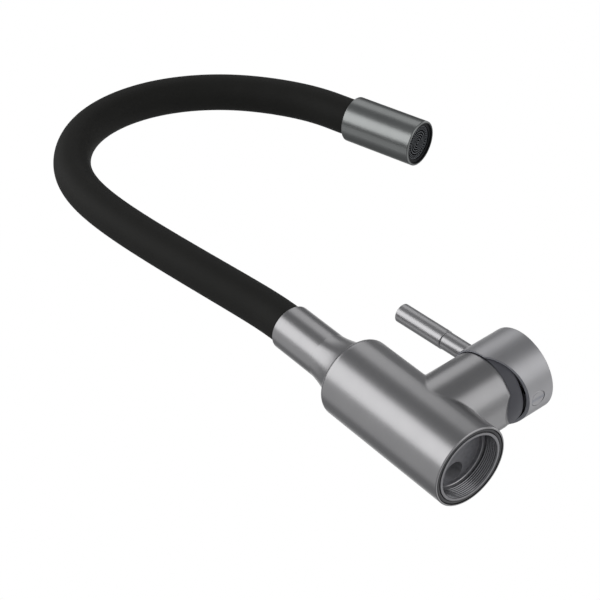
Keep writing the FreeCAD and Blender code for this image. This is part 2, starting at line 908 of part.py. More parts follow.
def make_hose():
    """The hose in five lengths. Every layer of a length ends in the same ball and socket."""
    balls = [bending_ball(run, number) for number, run in enumerate(BENDING_RUNS, start=1)]
    last_run = len(HOSE_ROUTE) - 2
    for number in range(1, len(BENDING_RUNS) + 2):
        first = number == 1
        last = number == len(BENDING_RUNS) + 1
        start_run = 0 if first else BENDING_RUNS[number - 2] - 1
        end_run = last_run if last else BENDING_RUNS[number - 1]
        start = HOSE_ROUTE[0] if first else middle(HOSE_ROUTE[start_run], HOSE_ROUTE[start_run + 1])
        end = HOSE_ROUTE[-1] if last else middle(HOSE_ROUTE[end_run], HOSE_ROUTE[end_run + 1])
        spine = document.addObject("Part::Feature", f"hose_spine_{number}")
        spine.Shape = route_wire(start, range(start_run + 1, end_run + 1), end)
        turn = heading(start_run)
        for layer, (outer, inner) in hose_layers().items():
            name = f"{layer}_{number}"
            rod = sweep(name + "_rod", outer, spine, start, turn)
            hollow = sweep(name + "_hollow", inner, spine, start, turn)
            tools = [hollow]
            if not first:
                tools.append(balls[number - 2][1])
            if not last:
                tools.append(balls[number - 1][0])
            named(cut(name, rod, tools), name)


def make_hose_fittings():
    """The screwed ends: one in the neck, one in the outlet sleeve."""
    inner_tube = hose_layers()["water_tube"][1]
    lower = turned("hose_lower_fitting", fitting_outline(inner_tube), (0, 0, hose_foot))
    named(lower, "hose_lower_fitting")
    upper = turned("hose_upper_fitting", fitting_outline(inner_tube))
    upper.Placement = outlet_placement(flip=True)
    named(upper, "hose_upper_fitting")


def outlet_placement(flip=False):
    """The frame at the hose's far end, its Z along the flow, or against it when flipped."""
    rotation = heading(len(HOSE_ROUTE) - 2)
    if flip:
        rotation = rotation.multiply(FreeCAD.Rotation(FreeCAD.Vector(0, 1, 0), 180))
    return FreeCAD.Placement(in_space(HOSE_ROUTE[-1]), rotation)


def make_outlet():
    """The sleeve, and the aerator in its mouth. Heights are along the flow from the hose's end."""
    web_start = size("fitting_flange_length")
    web_end = web_start + size("fitting_thread_length")
    ledge = web_end + size("mixing_bore_length")
    reach = size("sleeve_reach")
    sleeve_outline = [
        (socket_radius, -size("sleeve_overlap")),
        (sleeve_radius, -size("sleeve_overlap")),
        (sleeve_radius, reach),
        (aerator_radius, reach),
        (aerator_radius, ledge),
        (size("mixing_bore_radius"), ledge),
        (size("mixing_bore_radius"), web_end),
        (size("fitting_thread_radius"), web_end),
        (size("fitting_thread_radius"), web_start),
        (socket_radius, web_start),
    ]
    sleeve = turned("outlet_sleeve", sleeve_outline)
    rims = [(sleeve_radius, -size("sleeve_overlap")), (sleeve_radius, reach)]
    eased(sleeve, "Fillet", size("sleeve_edge"), rims)
    sleeve.Placement = outlet_placement()
    named(sleeve, "outlet_sleeve")

    outer = aerator_radius - size("aerator_play")
    inner = aerator_radius - size("aerator_wall")
    seal_end = ledge + size("aerator_seal_thickness")
    seal_inner = size("mixing_bore_radius")
    seal = [(seal_inner, ledge), (outer, ledge), (outer, seal_end), (seal_inner, seal_end)]
    washer = turned("aerator_seal", seal)
    washer.Placement = outlet_placement()
    named(washer, "aerator_seal")

    housing_end = reach - size("aerator_recess")
    floor_end = seal_end + size("aerator_floor")
    slots = size("inlet_slot_radius")
    housing_outline = [
        (slots, seal_end),
        (outer, seal_end),
        (outer, housing_end),
        (inner, housing_end),
        (inner, floor_end),
        (slots, floor_end),
    ]
    housing = turned("aerator_housing", housing_outline)
    housing.Placement = outlet_placement()
    named(housing, "aerator_housing")
    make_aerator_insert(inner - size("aerator_play"), housing_end)


def make_aerator_insert(radius, housing_end):
    """The jet former: a disc with rings of small cells."""
    end = housing_end - size("insert_recess")
    start = end - size("insert_thickness")
    insert = turned("aerator_insert", [(0, start), (radius, start), (radius, end), (0, end)])
    half = size("cell_width") / 2
    reach = size("cell_length") / 2
    for number, count in enumerate(CELL_COUNTS):
        distance = size("cell_ring_first") + size("cell_ring_pitch") * number
        near, far = distance - reach, distance + reach
        cell = [(near, -half), (far, -half), (far, half), (near, half)]
        pocket_ring(insert, f"cell_ring_{number + 1}", cell, count)
    insert.Placement = outlet_placement()
    named(insert, "aerator_insert")


def make_cartridge_case():
    """Housing, base, seals, fixed disc and nut: the parts of the cartridge that stay with the body."""
    outer, inner = size("cartridge_radius"), housing_inner
    bore = size("rotor_neck_radius") + size("rotor_bearing_play")
    foot = seat + size("housing_foot_gap")
    neck_end = housing_top + size("housing_neck_length")
    neck = size("housing_neck_radius")
    outline = [(inner, foot), (outer, foot), (outer, housing_top), (neck, housing_top), (neck, neck_end)]
    outline += [(bore, neck_end), (bore, cavity_end), (inner, cavity_end)]
    named(turned("cartridge_housing", outline, on_branch(), *ALONG["x"]), "cartridge_housing")

    nut_outer = size("nut_thread_radius") - size("nut_play")
    nut_inner = neck + size("nut_play")
    nut_outline = [(nut_inner, housing_top), (nut_outer, housing_top)]
    nut_outline += [(nut_outer, nut_end), (nut_inner, nut_end)]
    nut = turned("nut_ring", nut_outline, on_branch(), *ALONG["x"])
    half = size("nut_slot") / 2
    slots = []
    for name, low, high in (
        ("nut_slot_across", (-nut_outer, -half), (nut_outer, half)),
        ("nut_slot_up", (-half, -nut_outer), (half, nut_outer)),
    ):
        slot_start = nut_end - size("nut_length") / 3
        slots.append(block(name, on_branch(*low, slot_start), on_branch(*high, nut_end)))
    named(cut("cartridge_nut", nut, slots), "cartridge_nut")

    base_radius = inner - size("cartridge_play")
    base = cylinder("base_disc", base_radius, size("base_thickness"), on_branch(out=base_start), "x")
    spread, rise, port = size("base_port_spread"), size("base_port_rise"), size("base_port_radius")
    ports = [(spread, rise, port), (-spread, rise, port)]
    ports.append((as_length(0), -size("outlet_port_drop"), size("base_outlet_radius")))
    holes = []
    seals = []
    for number, (across, up, radius) in enumerate(ports, start=1):
        sunk = radius + size("port_seal_wall")
        holes.append(
            cylinder(
                f"base_port_{number}",
                radius,
                size("base_thickness"),
                on_branch(across, up, base_start),
                "x",
            )
        )
        holes.append(
            cylinder(f"base_seat_{number}", sunk, size("seal_sink"), on_branch(across, up, base_start), "x")
        )
        low = seat + size("seal_squeeze")
        depth = base_start + size("seal_sink") - low
        rim = cylinder(f"seal_rim_{number}", sunk, depth, on_branch(across, up, low), "x")
        eye = cylinder(f"seal_eye_{number}", radius, depth, on_branch(across, up, low), "x")
        seals.append(cut(f"port_seal_{number}", rim, [eye]))
    named(cut("cartridge_base", base, holes), "cartridge_base")
    named(group("cartridge_seals", seals), "cartridge_seals")

    disc = cylinder(
        "fixed_disc_blank",
        housing_inner - size("fixed_disc_play"),
        size("disc_thickness"),
        on_branch(out=fixed_disc_start),
        "x",
    )
    holes = []
    spread, rise, port = size("disc_port_spread"), size("disc_port_rise"), size("disc_port_radius")
    openings = [(spread, rise, port), (-spread, rise, port)]
    openings.append((as_length(0), -size("outlet_port_drop"), size("disc_outlet_radius")))
    for number, (across, up, radius) in enumerate(openings, start=1):
        point = on_branch(across, up, fixed_disc_start)
        holes.append(cylinder(f"disc_port_{number}", radius, size("disc_thickness"), point, "x"))
    named(cut("ceramic_disc_fixed", disc, holes), "ceramic_disc_fixed")


def make_mixing_discs():
    """The moving disc with its mixing chamber, and the carrier that the spindle's ball pushes."""
    drop = -size("disc_rest_drop")
    blank = cylinder(
        "moving_disc_blank",
        moving_disc_radius,
        size("disc_thickness"),
        on_branch(0, drop, moving_disc_start),
        "x",
    )
    half = size("chamber_width") / 2
    chamber = block(
        "mixing_chamber",
        on_branch(-half, -size("chamber_bottom"), moving_disc_start),
        on_branch(half, size("chamber_top"), moving_disc_start + size("chamber_depth")),
    )
    named(cut("ceramic_disc_moving", blank, [chamber]), "ceramic_disc_moving")

    carrier = cylinder(
        "carrier_blank",
        moving_disc_radius,
        size("carrier_thickness"),
        on_branch(0, drop, carrier_start),
        "x",
    )
    wide, tall = size("pocket_half_width"), size("pocket_half_height")
    pocket = block(
        "ball_pocket",
        on_branch(-wide, -tall, carrier_start),
        on_branch(wide, tall, carrier_start + size("carrier_thickness")),
    )
    named(cut("disc_carrier", carrier, [pocket]), "disc_carrier")


def make_rotor():
    """The rotor that turns in the housing, slotted for the spindle, and the pin that it holds."""
    neck, disc = size("rotor_neck_radius"), housing_inner - size("rotor_play")
    outline = [(0, rotor_start), (disc, rotor_start), (disc, rotor_disc_end), (neck, rotor_disc_end)]
    outline += [(neck, rotor_end), (0, rotor_end)]
    blank = turned("rotor_blank", outline, on_branch(), *ALONG["x"])
    half = size("rotor_slot") / 2
    slot_floor = rotor_disc_end + size("rotor_disc_thickness")
    narrow = size("arm_slot") / 2
    tools = [
        block("spindle_slot", on_branch(-half, -neck, slot_floor), on_branch(half, neck, rotor_end)),
        block(
            "arm_slot",
            on_branch(-narrow, -size("arm_slot_low"), rotor_start),
            on_branch(narrow, size("arm_slot_high"), slot_floor),
        ),
        cylinder("pin_hole", size("pin_radius"), neck * 2, on_branch(-neck, 0, pivot), "y"),
    ]
    named(cut("cartridge_rotor", blank, tools), "cartridge_rotor")
    half_pin = size("pin_length") / 2
    pin = cylinder("spindle_pin", size("pin_radius"), size("pin_length"), on_branch(-half_pin, 0, pivot), "y")
    named(pin, "spindle_pin")


def make_spindle():
    """The spindle: a square for the handle, a bore for the pin, and an arm with a ball for the carrier."""
    half = size("spindle_square") / 2
    root = pivot - size("spindle_root")
    ball_place = pivot - size("arm_length")
    square = block(
        "spindle_square_bar",
        on_branch(-half, -half, root),
        on_branch(half, half, pivot + size("spindle_top")),
    )
    arm = cone(
        "spindle_arm",
        size("arm_tip_radius"),
        size("arm_root_radius"),
        root - ball_place,
        on_branch(out=ball_place),
        "x",
    )
    tip = ball("spindle_ball", size("arm_ball_radius"), on_branch(out=ball_place))
    bar = joined("spindle_bar", [square, arm, tip])
    hole = cylinder(
        "spindle_bore",
        size("pin_radius") + size("pin_play"),
        size("spindle_square"),
        on_branch(-half, 0, pivot),
        "y",
    )
    named(cut("spindle", bar, [hole]), "spindle")


def make_dome():
    """The rounded cover over the cartridge: a ball's zone about the pivot, with a collar in the branch.

    Its underside follows the branch's rounded end and fills the relief below it."""
    outer, inner = size("dome_radius"), size("dome_radius") - size("dome_wall")
    low, top = dome_collar_start, pivot + size("dome_top")
    collar = dome_collar_radius
    collar_inner = collar - size("dome_collar_wall")
    inner_seat = size("branch_end") + size("dome_wall")
    outline = [
        (collar_inner, low),
        (side(outer, pivot - low), low),
        (side(outer, top - pivot), top, outer, 1),
        (side(inner, top - pivot), top),
        (side(inner, pivot - inner_seat), inner_seat, inner, -1),
        (collar_inner, inner_seat),
    ]
    blank = turned("dome_blank", outline, on_branch(), *ALONG["x"])
    beyond = size("branch_radius") + size("dome_seat_gap")
    end = size("branch_end") + size("dome_seat_gap")
    branch_space = turned(
        "branch_space",
        [(0, 0), (beyond, 0), (beyond, end), (0, end)],
        on_branch(),
        *ALONG["x"],
    )
    eased(branch_space, "Fillet", size("branch_rounding") + size("dome_seat_gap"), [(beyond, end)])
    core = cylinder("dome_core", collar, top, on_branch(), "x")
    space = cut("dome_underside", branch_space, [branch_relief("dome_relief"), core])
    named(cut("dome_cover", blank, [space]), "dome_cover")


def lever_frame(name, outline):
    """A turned piece on the lever's leaning axis. Heights are from the branch's axis."""
    return turned(name, outline, on_branch(out=lever_position), (0, 1, 0), -size("lever_lean"))


def make_cap():
    """The cap: hollow round the dome, a hub on the spindle, its rim cut back in a curve below the axis."""
    outer, rim, end = cap_radius, cap_rim, cap_end
    hollow, floor = cavity_radius, cap_floor
    outline = [
        (0, hub_start),
        (size("hub_radius"), hub_start),
        (size("hub_radius"), floor),
        (side(hollow, floor - pivot), floor),
        (hollow, pivot, hollow, -1),
        (hollow, rim),
        (outer, rim),
        (outer, end),
        (0, end),
    ]
    shell = turned("cap_shell", outline, on_branch(), *ALONG["x"])
    eased(shell, "Fillet", size("cap_edge"), [(outer, end)])
    boss_start, boss_end = size("stem_boss_start"), size("stem_start")
    boss_radius = size("stem_boss_radius")
    boss_outline = [(0, boss_start), (boss_radius, boss_start), (boss_radius, boss_end), (0, boss_end)]
    boss = lever_frame("cap_boss", boss_outline)
    axis_level = size("branch_height")
    slant = plate(
        "rim_slant",
        [
            (rim, axis_level),
            (rim + size("cap_slant"), axis_level - outer, size("cap_slant_curve"), -1),
            (rim + size("cap_slant"), axis_level - outer * 2),
            (rim - size("cap_slant"), axis_level - outer * 2),
            (rim - size("cap_slant"), axis_level),
        ],
        -outer * 2,
        outer * 2,
    )
    socket = size("spindle_square") / 2 + size("socket_play")
    socket_end = pivot + size("spindle_top") + size("socket_end_play")
    stem_hole = size("stem_spigot_radius") + size("stem_fit")
    spotface = size("stem_radius") + size("stem_fit")
    hole_start = size("stem_spigot_start")
    stem_outline = [(0, hole_start), (stem_hole, hole_start), (stem_hole, size("stem_start"))]
    stem_outline += [(spotface, size("stem_start")), (spotface, outer * 1.5), (0, outer * 1.5)]
    low, high = on_branch(-socket, -socket, hub_start), on_branch(socket, socket, socket_end)
    tools = [
        slant,
        block("spindle_socket", low, high),
        lever_frame("stem_hole", stem_outline),
        cylinder(
            "grub_hole",
            size("grub_radius") + size("plug_fit"),
            outer,
            on_branch(out=grub_position),
            "-z",
        ),
        cylinder(
            "plug_hole",
            size("plug_radius") + size("plug_fit"),
            size("plug_depth") * 2,
            on_branch(0, size("plug_depth") - outer, grub_position),
            "-z",
        ),
    ]
    solid = joined("cap_solid", [shell, boss])
    named(cut("handle_cap", solid, tools), "handle_cap")


def make_grub_screw():
    """The grub screw that holds the cap on the spindle's flat, and the plug that covers it."""
    tip = size("spindle_square") / 2 + size("plug_fit")
    blank = cylinder(
        "grub_blank",
        size("grub_radius"),
        size("grub_length"),
        on_branch(0, -tip, grub_position),
        "-z",
    )
    key = cylinder(
        "grub_key",
        size("grub_key_radius"),
        size("grub_key_depth"),
        on_branch(0, size("grub_key_depth") - tip - size("grub_length"), grub_position),
        "-z",
    )
    named(cut("handle_grub_screw", blank, [key]), "handle_grub_screw")
    top = size("plug_depth") - cap_radius
    radius, height = size("plug_radius"), size("plug_depth") - size("plug_sink")
    outline = [(0, 0), (radius, 0), (radius, height), (0, height)]
    plug = turned("grub_screw_plug", outline, on_branch(0, top, grub_position), *ALONG["-z"])
    eased(plug, "Fillet", size("plug_edge"), [(radius, height)])
    named(plug, "grub_screw_plug")


def make_lever():
    """The stem, screwed into the cap, and the slightly wider grip on it, with a fine groove between."""
    radius, start = size("stem_radius"), size("stem_start")
    spigot, spigot_start = size("stem_spigot_radius"), size("stem_spigot_start")
    grip_start = size("grip_start")
    groove = radius - size("grip_groove_depth")
    groove_start = grip_start - size("grip_groove")
    tip = size("grip_spigot_radius")
    tip_end = grip_start + size("grip_spigot_length")
    outline = [(0, spigot_start + size("stem_fit")), (spigot, spigot_start + size("stem_fit"))]
    outline += [(spigot, start), (radius, start), (radius, groove_start), (groove, groove_start)]
    outline += [(groove, grip_start), (tip, grip_start), (tip, tip_end), (0, tip_end)]
    named(lever_frame("lever_stem", outline), "lever_stem")

    grip, end = size("grip_radius"), size("grip_end")
    hole = tip + size("stem_fit")
    hole_end = tip_end + size("socket_end_play")
    grip_outline = [(hole, grip_start), (grip, grip_start), (grip, end)]
    grip_outline += [(0, end), (0, hole_end), (hole, hole_end)]
    grip_body = lever_frame("lever_grip", grip_outline)
    eased(grip_body, "Fillet", size("grip_edge"), [(grip, grip_start), (grip, end)])
    named(grip_body, "lever_grip")


def check_document():
    """Stops if any feature failed or any sub-part has no valid solid."""
    for feature in document.Objects:
        if {"Invalid", "Error"} & set(feature.State):
            raise ValueError(f"{feature.Name} failed: {feature.State}")
    for node, feature in nodes.items():
        shape = feature.Shape
        if shape.isNull() or not shape.isValid() or not shape.Solids:
            raise ValueError(f"{node} is not a valid solid")


def check_hose():
    """Prints the hose's length and arc radii, and compares a swept rod's volume with section by length."""
    print(f"hose length {route_length():.1f} mm")
    for index in range(1, len(HOSE_ROUTE) - 1):
        print(f"corner {index}: arc radius {corner_radius(index)[0]:.0f} mm")
    section = math.pi * SIZES["hose_radius"] ** 2
    for number in range(1, len(BENDING_RUNS) + 2):
        spine = document.getObject(f"hose_spine_{number}").Shape
        rod = document.getObject(f"hose_cover_{number}_rod").Shape
        print(f"length {number}: volume over section by length {rod.Volume / (section * spine.Length):.4f}")


make_body()
make_foot_seal()
make_neck_bearing()
make_collar()
make_hose()
make_hose_fittings()
make_outlet()
make_cartridge_case()
make_mixing_discs()
make_rotor()
make_spindle()
make_dome()
make_cap()
make_grub_screw()
make_lever()
document.recompute()
check_document()
check_hose()

os.makedirs("parts", exist_ok=True)
for node, feature in nodes.items():
    feature.Shape.exportStep(f"parts/{node}.step")
print(f"{len(nodes)} sub-parts")
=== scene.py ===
# %% [markdown]
# # A kitchen mixer tap with a bendable hose
#
# The tap is already built as exact solids, each on the body that it moves with. This script loads
# that frame and gives it its looks: the black hose as one smooth surface, the threads and the fine
# grille that the solids leave plain, and a finish for every piece. The frame is in metres, with +Z
# up along the tap's body. The lengths of the pieces and of the masks are written in millimetres, and
# are multiplied by MM on their way to Blender.

# %% Load the frame
import math

import bpy
import numpy as np
from mathutils import Matrix, Vector


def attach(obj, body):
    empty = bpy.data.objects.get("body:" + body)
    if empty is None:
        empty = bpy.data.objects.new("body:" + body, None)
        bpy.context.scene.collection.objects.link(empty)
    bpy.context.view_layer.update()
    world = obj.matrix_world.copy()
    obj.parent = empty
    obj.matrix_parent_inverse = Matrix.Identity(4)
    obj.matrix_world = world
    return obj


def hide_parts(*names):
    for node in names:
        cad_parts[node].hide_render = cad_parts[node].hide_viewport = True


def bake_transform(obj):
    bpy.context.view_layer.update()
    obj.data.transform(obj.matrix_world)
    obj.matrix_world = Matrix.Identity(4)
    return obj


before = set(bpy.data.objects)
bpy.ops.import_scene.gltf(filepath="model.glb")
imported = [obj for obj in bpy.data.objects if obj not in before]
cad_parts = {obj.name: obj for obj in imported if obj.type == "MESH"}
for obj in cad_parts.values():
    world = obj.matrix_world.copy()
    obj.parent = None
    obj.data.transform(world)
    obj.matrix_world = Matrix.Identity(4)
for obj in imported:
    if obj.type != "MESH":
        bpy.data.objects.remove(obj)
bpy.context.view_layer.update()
MM = 0.001

# %% [markdown]
# ## The camera
#
# The photograph was taken from below and behind, with a long lens, and the camera was rolled so
# that the tap lies across the picture. A camera is fully given by where it stands, here in metres,
# and by three directions: to its right, up, and back. They were found by fitting the outlines of
# the body, the branch, the hose and the sleeve to the photograph. The lens is the focal length in
# pixels times the sensor's width over the picture's width.

# %% Set up the camera
PICTURE_WIDTH = 600
SENSOR_WIDTH = 36.0
FOCAL_PIXELS = 1884.45
STANDS = Vector((-0.50077, -0.71464, -0.52293))
RIGHT = Vector((0.778353, 0.040711, -0.626505))
UP = Vector((0.423626, -0.770549, 0.476231))
BACK = RIGHT.cross(UP)
TAP_MIDDLE = Vector((0.08, 0, 0.2))

lens = bpy.data.cameras.new("photo_camera")
lens.sensor_width = SENSOR_WIDTH
lens.lens = FOCAL_PIXELS * SENSOR_WIDTH / PICTURE_WIDTH
camera = bpy.data.objects.new("photo_camera", lens)
bpy.context.scene.collection.objects.link(camera)
camera.matrix_world = Matrix((RIGHT, UP, BACK)).transposed().to_4x4()
camera.location = STANDS
bpy.context.scene.camera = camera
bpy.context.scene.view_settings.view_transform = "Standard"
print(f"lens {lens.lens:.1f} mm, {(STANDS - TAP_MIDDLE).length:.2f} m from the tap")

# %% [markdown]
# ## Helpers for surfaces
#
# Every new piece is a grid of points: one row for each place along it, one column for each place
# round it. The whole grid is worked out at once with numpy, and the faces follow from the
# numbering. A closed tube needs its last column joined to its first, and its two ends closed by a
# fan of triangles round one more point each, so that the piece has an inside and an outside.

# %% Make a piece from a grid of points


def grid_faces(rows, columns, wrap_rows=False):
    """Corner numbers of a grid's quads: each is a point, the next in its row, and the two of the
    next row. The last column joins the first, and with wrap_rows the last row joins the first."""
    row = np.arange(rows if wrap_rows else rows - 1)[:, None]
    column = np.arange(columns)[None, :]
    beside = (column + 1) % columns
    above = (row + 1) % rows
    corners = (
        row * columns + column,
        row * columns + beside,
        above * columns + beside,
        above * columns + column,
    )
    return np.stack(np.broadcast_arrays(*corners), axis=-1).reshape(-1, 4)


def end_fans(rows, columns):
    """Corner numbers of the triangles that close a tube's first and last row. Their middles are the
    two points that follow the grid's own."""
    step = np.arange(columns)
    beside = (step + 1) % columns
    middle = rows * columns
    last_row = middle - columns
    first = np.stack([np.full(columns, middle), beside, step], axis=1)
    last = np.stack([last_row + step, last_row + beside, np.full(columns, middle + 1)], axis=1)
    return first, last


def make_piece(name, points, faces, sharp_angle=40):
    """A mesh object from points in millimetres and faces by corner number, shaded smooth but for
    edges sharper than an angle in degrees."""
    mesh = bpy.data.meshes.new(name)
    corners = [list(map(int, face)) for face in faces]
    mesh.from_pydata((np.asarray(points).reshape(-1, 3) * MM).tolist(), [], corners)
    mesh.shade_smooth()
    mesh.set_sharp_from_angle(angle=math.radians(sharp_angle))
    mesh.validate()
    piece = bpy.data.objects.new(name, mesh)
    bpy.context.scene.collection.objects.link(piece)
    print(f"{name}: {len(mesh.vertices)} points, {len(mesh.polygons)} faces")
    return piece


# %% [markdown]
# ## The hose's centre line
#
# The real hose holds any bend that a hand gives it. In the photograph it leaves the neck straight
# up, leans back, goes over in one round arch and comes down towards the sink. A cubic B-spline
# follows a few control points, each an x and a z, and never kinks, because its curvature is
# continuous, so it suits a hose better than arcs do. Each piece of it is a blend of four
# neighbouring points with the weights (1-t)^3, 3t^3-6t^2+4, -3t^3+3t^2+3t+1 and t^3, all over six.
# The straight ends, inside the neck and inside the sleeve, are added as two more points.

# %% Work out the centre line
HOSE_RADIUS = 12.325
HOSE_FOOT = (0.0, 136.0)
HOSE_END = (169.5, 287.0)
HOSE_CONTROLS = [
    (0.0, 155.8),
    (-0.4, 177.1),
    (-11.5, 253.9),
    (-21.1, 343.6),
    (-4.5, 387.0),
    (31.1, 414.2),
    (80.8, 411.7),
    (127.7, 380.3),
    (157.9, 332.4),
    (164.5, 305.9),
]
POINTS_PER_SPAN = 60
SECTION_SPACING = 2.0


def clamped_spline(controls, per_span):
    """Points along the uniform cubic B-spline that starts and ends at the outer controls: each end
    is mirrored."""
    controls = np.array(controls)
    first = 2 * controls[0] - controls[1]
    last = 2 * controls[-1] - controls[-2]
    padded = np.vstack([first, controls, last])
    t = np.linspace(0, 1, per_span, endpoint=False)[:, None]
    coming = -3 * t**3 + 3 * t**2 + 3 * t + 1
    weights = np.hstack([(1 - t) ** 3, 3 * t**3 - 6 * t**2 + 4, coming, t**3]) / 6
    spans = np.stack([padded[i : len(padded) - 3 + i] for i in range(4)], axis=1)
    points = np.einsum("tw,swc->stc", weights, spans).reshape(-1, 2)
    return np.vstack([points, controls[-1]])


def evenly_spaced(points, spacing):
    """The same line with points every so many millimetres, and how far along it each of them is."""
    travelled = np.concatenate([[0], np.cumsum(np.linalg.norm(np.diff(points, axis=0), axis=1))])
    places = np.linspace(0, travelled[-1], int(round(travelled[-1] / spacing)) + 1)
    return places, np.stack([np.interp(places, travelled, points[:, k]) for k in (0, 1)], axis=1)


dense = np.vstack([HOSE_FOOT, clamped_spline(HOSE_CONTROLS, POINTS_PER_SPAN), HOSE_END])
hose_places, hose_line = evenly_spaced(dense, SECTION_SPACING)
print(f"hose {hose_places[-1]:.1f} mm long, {len(hose_line)} sections")

# %% [markdown]
# ## The hose's cover in four pieces
#
# The hose bends at four joints, and the cover is four pieces that meet halfway between the joints,
# where the hose stays rigid. Each section is a circle: the centre, plus the radius times the cosine
# along the line's own normal and the sine along Y. On such a tube the surface's normal is that same
# direction, so it is written into the mesh exactly, and the seams don't show in the gloss. Each row
# of the table is a piece, the bodies before and after its joint, the joint's place, and the hose's
# way through it.

# %% Build the cover
BENDS = [
    ("hose_from_neck", "neck", "hose_low", (-11.0, 253.0), (-0.122, 0.993)),
    ("hose_shoulder", "hose_low", "hose_crown", (-11.25, 364.25), (0.283, 0.959)),
    ("hose_crown_bend", "hose_crown", "hose_high", (76.75, 407.5), (0.948, -0.319)),
    ("hose_to_outlet", "hose_high", "outlet", (152.25, 337.75), (0.465, -0.885)),
]
STANDS_FOR = [
    ["hose_cover_1"],
    ["hose_cover_2"],
    ["hose_cover_3"],
    ["hose_cover_4", "hose_cover_5"],
]
ROUND_THE_HOSE = 72

tangents = np.gradient(hose_line, axis=0)
tangents /= np.linalg.norm(tangents, axis=1)[:, None]
joints = [np.array(at) for _, _, _, at, _ in BENDS]
nearest = [int(np.argmin(np.linalg.norm(hose_line - joint, axis=1))) for joint in joints]
seams = [0] + [(a + b) // 2 for a, b in zip(nearest, nearest[1:])] + [len(hose_line) - 1]


def hose_circles(low, high):
    """The centres of the sections from one to another, and the way out of the hose at every point
    round them."""
    angle = np.linspace(0, 2 * math.pi, ROUND_THE_HOSE, endpoint=False)
    centre, along = hose_line[low : high + 1], tangents[low : high + 1]
    out = np.stack([along[:, 1], -along[:, 0]], axis=1)
    across = out[:, None, :] * np.cos(angle)[None, :, None]
    beside = np.broadcast_to(np.sin(angle), across.shape[:2])
    normals = np.stack([across[..., 0], beside, across[..., 1]], axis=-1)
    middle = np.stack([centre[:, 0], np.zeros(len(centre)), centre[:, 1]], axis=-1)
    return middle, normals


def map_the_hose(mesh, corner_points, low, rows, side_corners):
    """A UV map in metres, u round the hose and v along it. In the last column of quads u ends at a
    full turn."""
    corner = np.arange(len(corner_points))
    on_grid = corner_points < rows * ROUND_THE_HOSE
    column = np.where(on_grid, corner_points % ROUND_THE_HOSE, 0)
    row = np.where(on_grid, corner_points // ROUND_THE_HOSE, 0)
    last_column = corner // 4 % ROUND_THE_HOSE == ROUND_THE_HOSE - 1
    wraps = (corner < side_corners) & (column == 0) & last_column
    u = (column + ROUND_THE_HOSE * wraps) / ROUND_THE_HOSE * 2 * math.pi * HOSE_RADIUS * MM
    v = hose_places[low + row] * MM
    uv = mesh.uv_layers.new(name="along_hose")
    uv.data.foreach_set("uv", np.stack([u, v], axis=1).astype(np.float32).ravel())


def hose_tube(name, low, high):
    """Circles round the centre line from one section to another, closed at both ends, with exact
    normals."""
    middle, normals = hose_circles(low, high)
    rings = middle[:, None, :] + normals * HOSE_RADIUS
    side = grid_faces(len(rings), ROUND_THE_HOSE)
    foot, top = end_fans(len(rings), ROUND_THE_HOSE)
    points = np.vstack([rings.reshape(-1, 3), middle[:1], middle[-1:]])
    piece = make_piece(name, points, [*side, *foot, *top])
    corner_points = np.zeros(len(piece.data.loops), int)
    piece.data.loops.foreach_get("vertex_index", corner_points)
    wanted = np.vstack([normals.reshape(-1, 3), np.zeros((2, 3))])[corner_points]
    (foot_x, foot_z), (top_x, top_z) = tangents[low], tangents[high]
    wanted[side.size : side.size + foot.size] = (-foot_x, 0, -foot_z)
    wanted[side.size + foot.size :] = (top_x, 0, top_z)
    piece.data.normals_split_custom_set(wanted)
    map_the_hose(piece.data, corner_points, low, len(rings), side.size)
    return piece


hose_pieces = []
for (name, lower, upper, at, way), low, high in zip(BENDS, seams, seams[1:]):
    tube = hose_tube(name, low, high)
    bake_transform(tube)
    hose_pieces.append(tube)
for tube, covers in zip(hose_pieces, STANDS_FOR):
    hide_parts(*covers)
print("seams at", [round(float(hose_places[s]), 1) for s in seams], "mm along the hose")

# %% [markdown]
# ## Screw threads in the foot
#
# The foot takes a threaded shank, and the two supply hoses screw into smaller holes above it. The
# solids leave these bores plain. A thread is a wave that climbs as it goes round: at angle a and
# height z, its depth depends only on z / pitch - a / full turn. Folding that number gives a
# triangle, and clipping the triangle gives a flat crest and a flat root. A plain wall behind it,
# inside the metal, closes the ring.

# %% Cut the threads
ROWS_PER_TURN = 8
FLANK_SLOPE = 2.4
FLAT_SHARE = 0.1
RUN_OUT_TURNS = 0.6
THREAD_BACK = 0.25


def thread_ring(name, centre, root, depth, low, high, pitch, around):
    """A ring whose inner wall is a screw thread: radius = root - depth x triangle(z / pitch - angle
    / turn). The thread fades out over part of a turn at either end."""
    angle = np.linspace(0, 2 * math.pi, around, endpoint=False)[None, :]
    height = np.linspace(low, high, int((high - low) / pitch * ROWS_PER_TURN) + 1)[:, None]
    phase = (height / pitch - angle / (2 * math.pi)) % 1.0
    triangle = np.clip(FLANK_SLOPE * (0.5 - np.abs(phase - 0.5)) - FLAT_SHARE, 0, 1)
    fade = np.clip(np.minimum(height - low, high - height) / (RUN_OUT_TURNS * pitch), 0, 1)
    radius = root - depth * triangle * fade
    inner = np.stack([radius * np.cos(angle), radius * np.sin(angle), height + 0 * angle], axis=-1)
    back = np.full_like(angle, root + THREAD_BACK)
    wall = [
        np.stack([back * np.cos(angle), back * np.sin(angle), level + 0 * angle], axis=-1)
        for level in (high, low)
    ]
    rows = np.concatenate([inner, *wall], axis=0) + np.array(centre)
    faces = grid_faces(len(rows), around, wrap_rows=True)
    return make_piece(name, rows, faces[:, ::-1], sharp_angle=75)


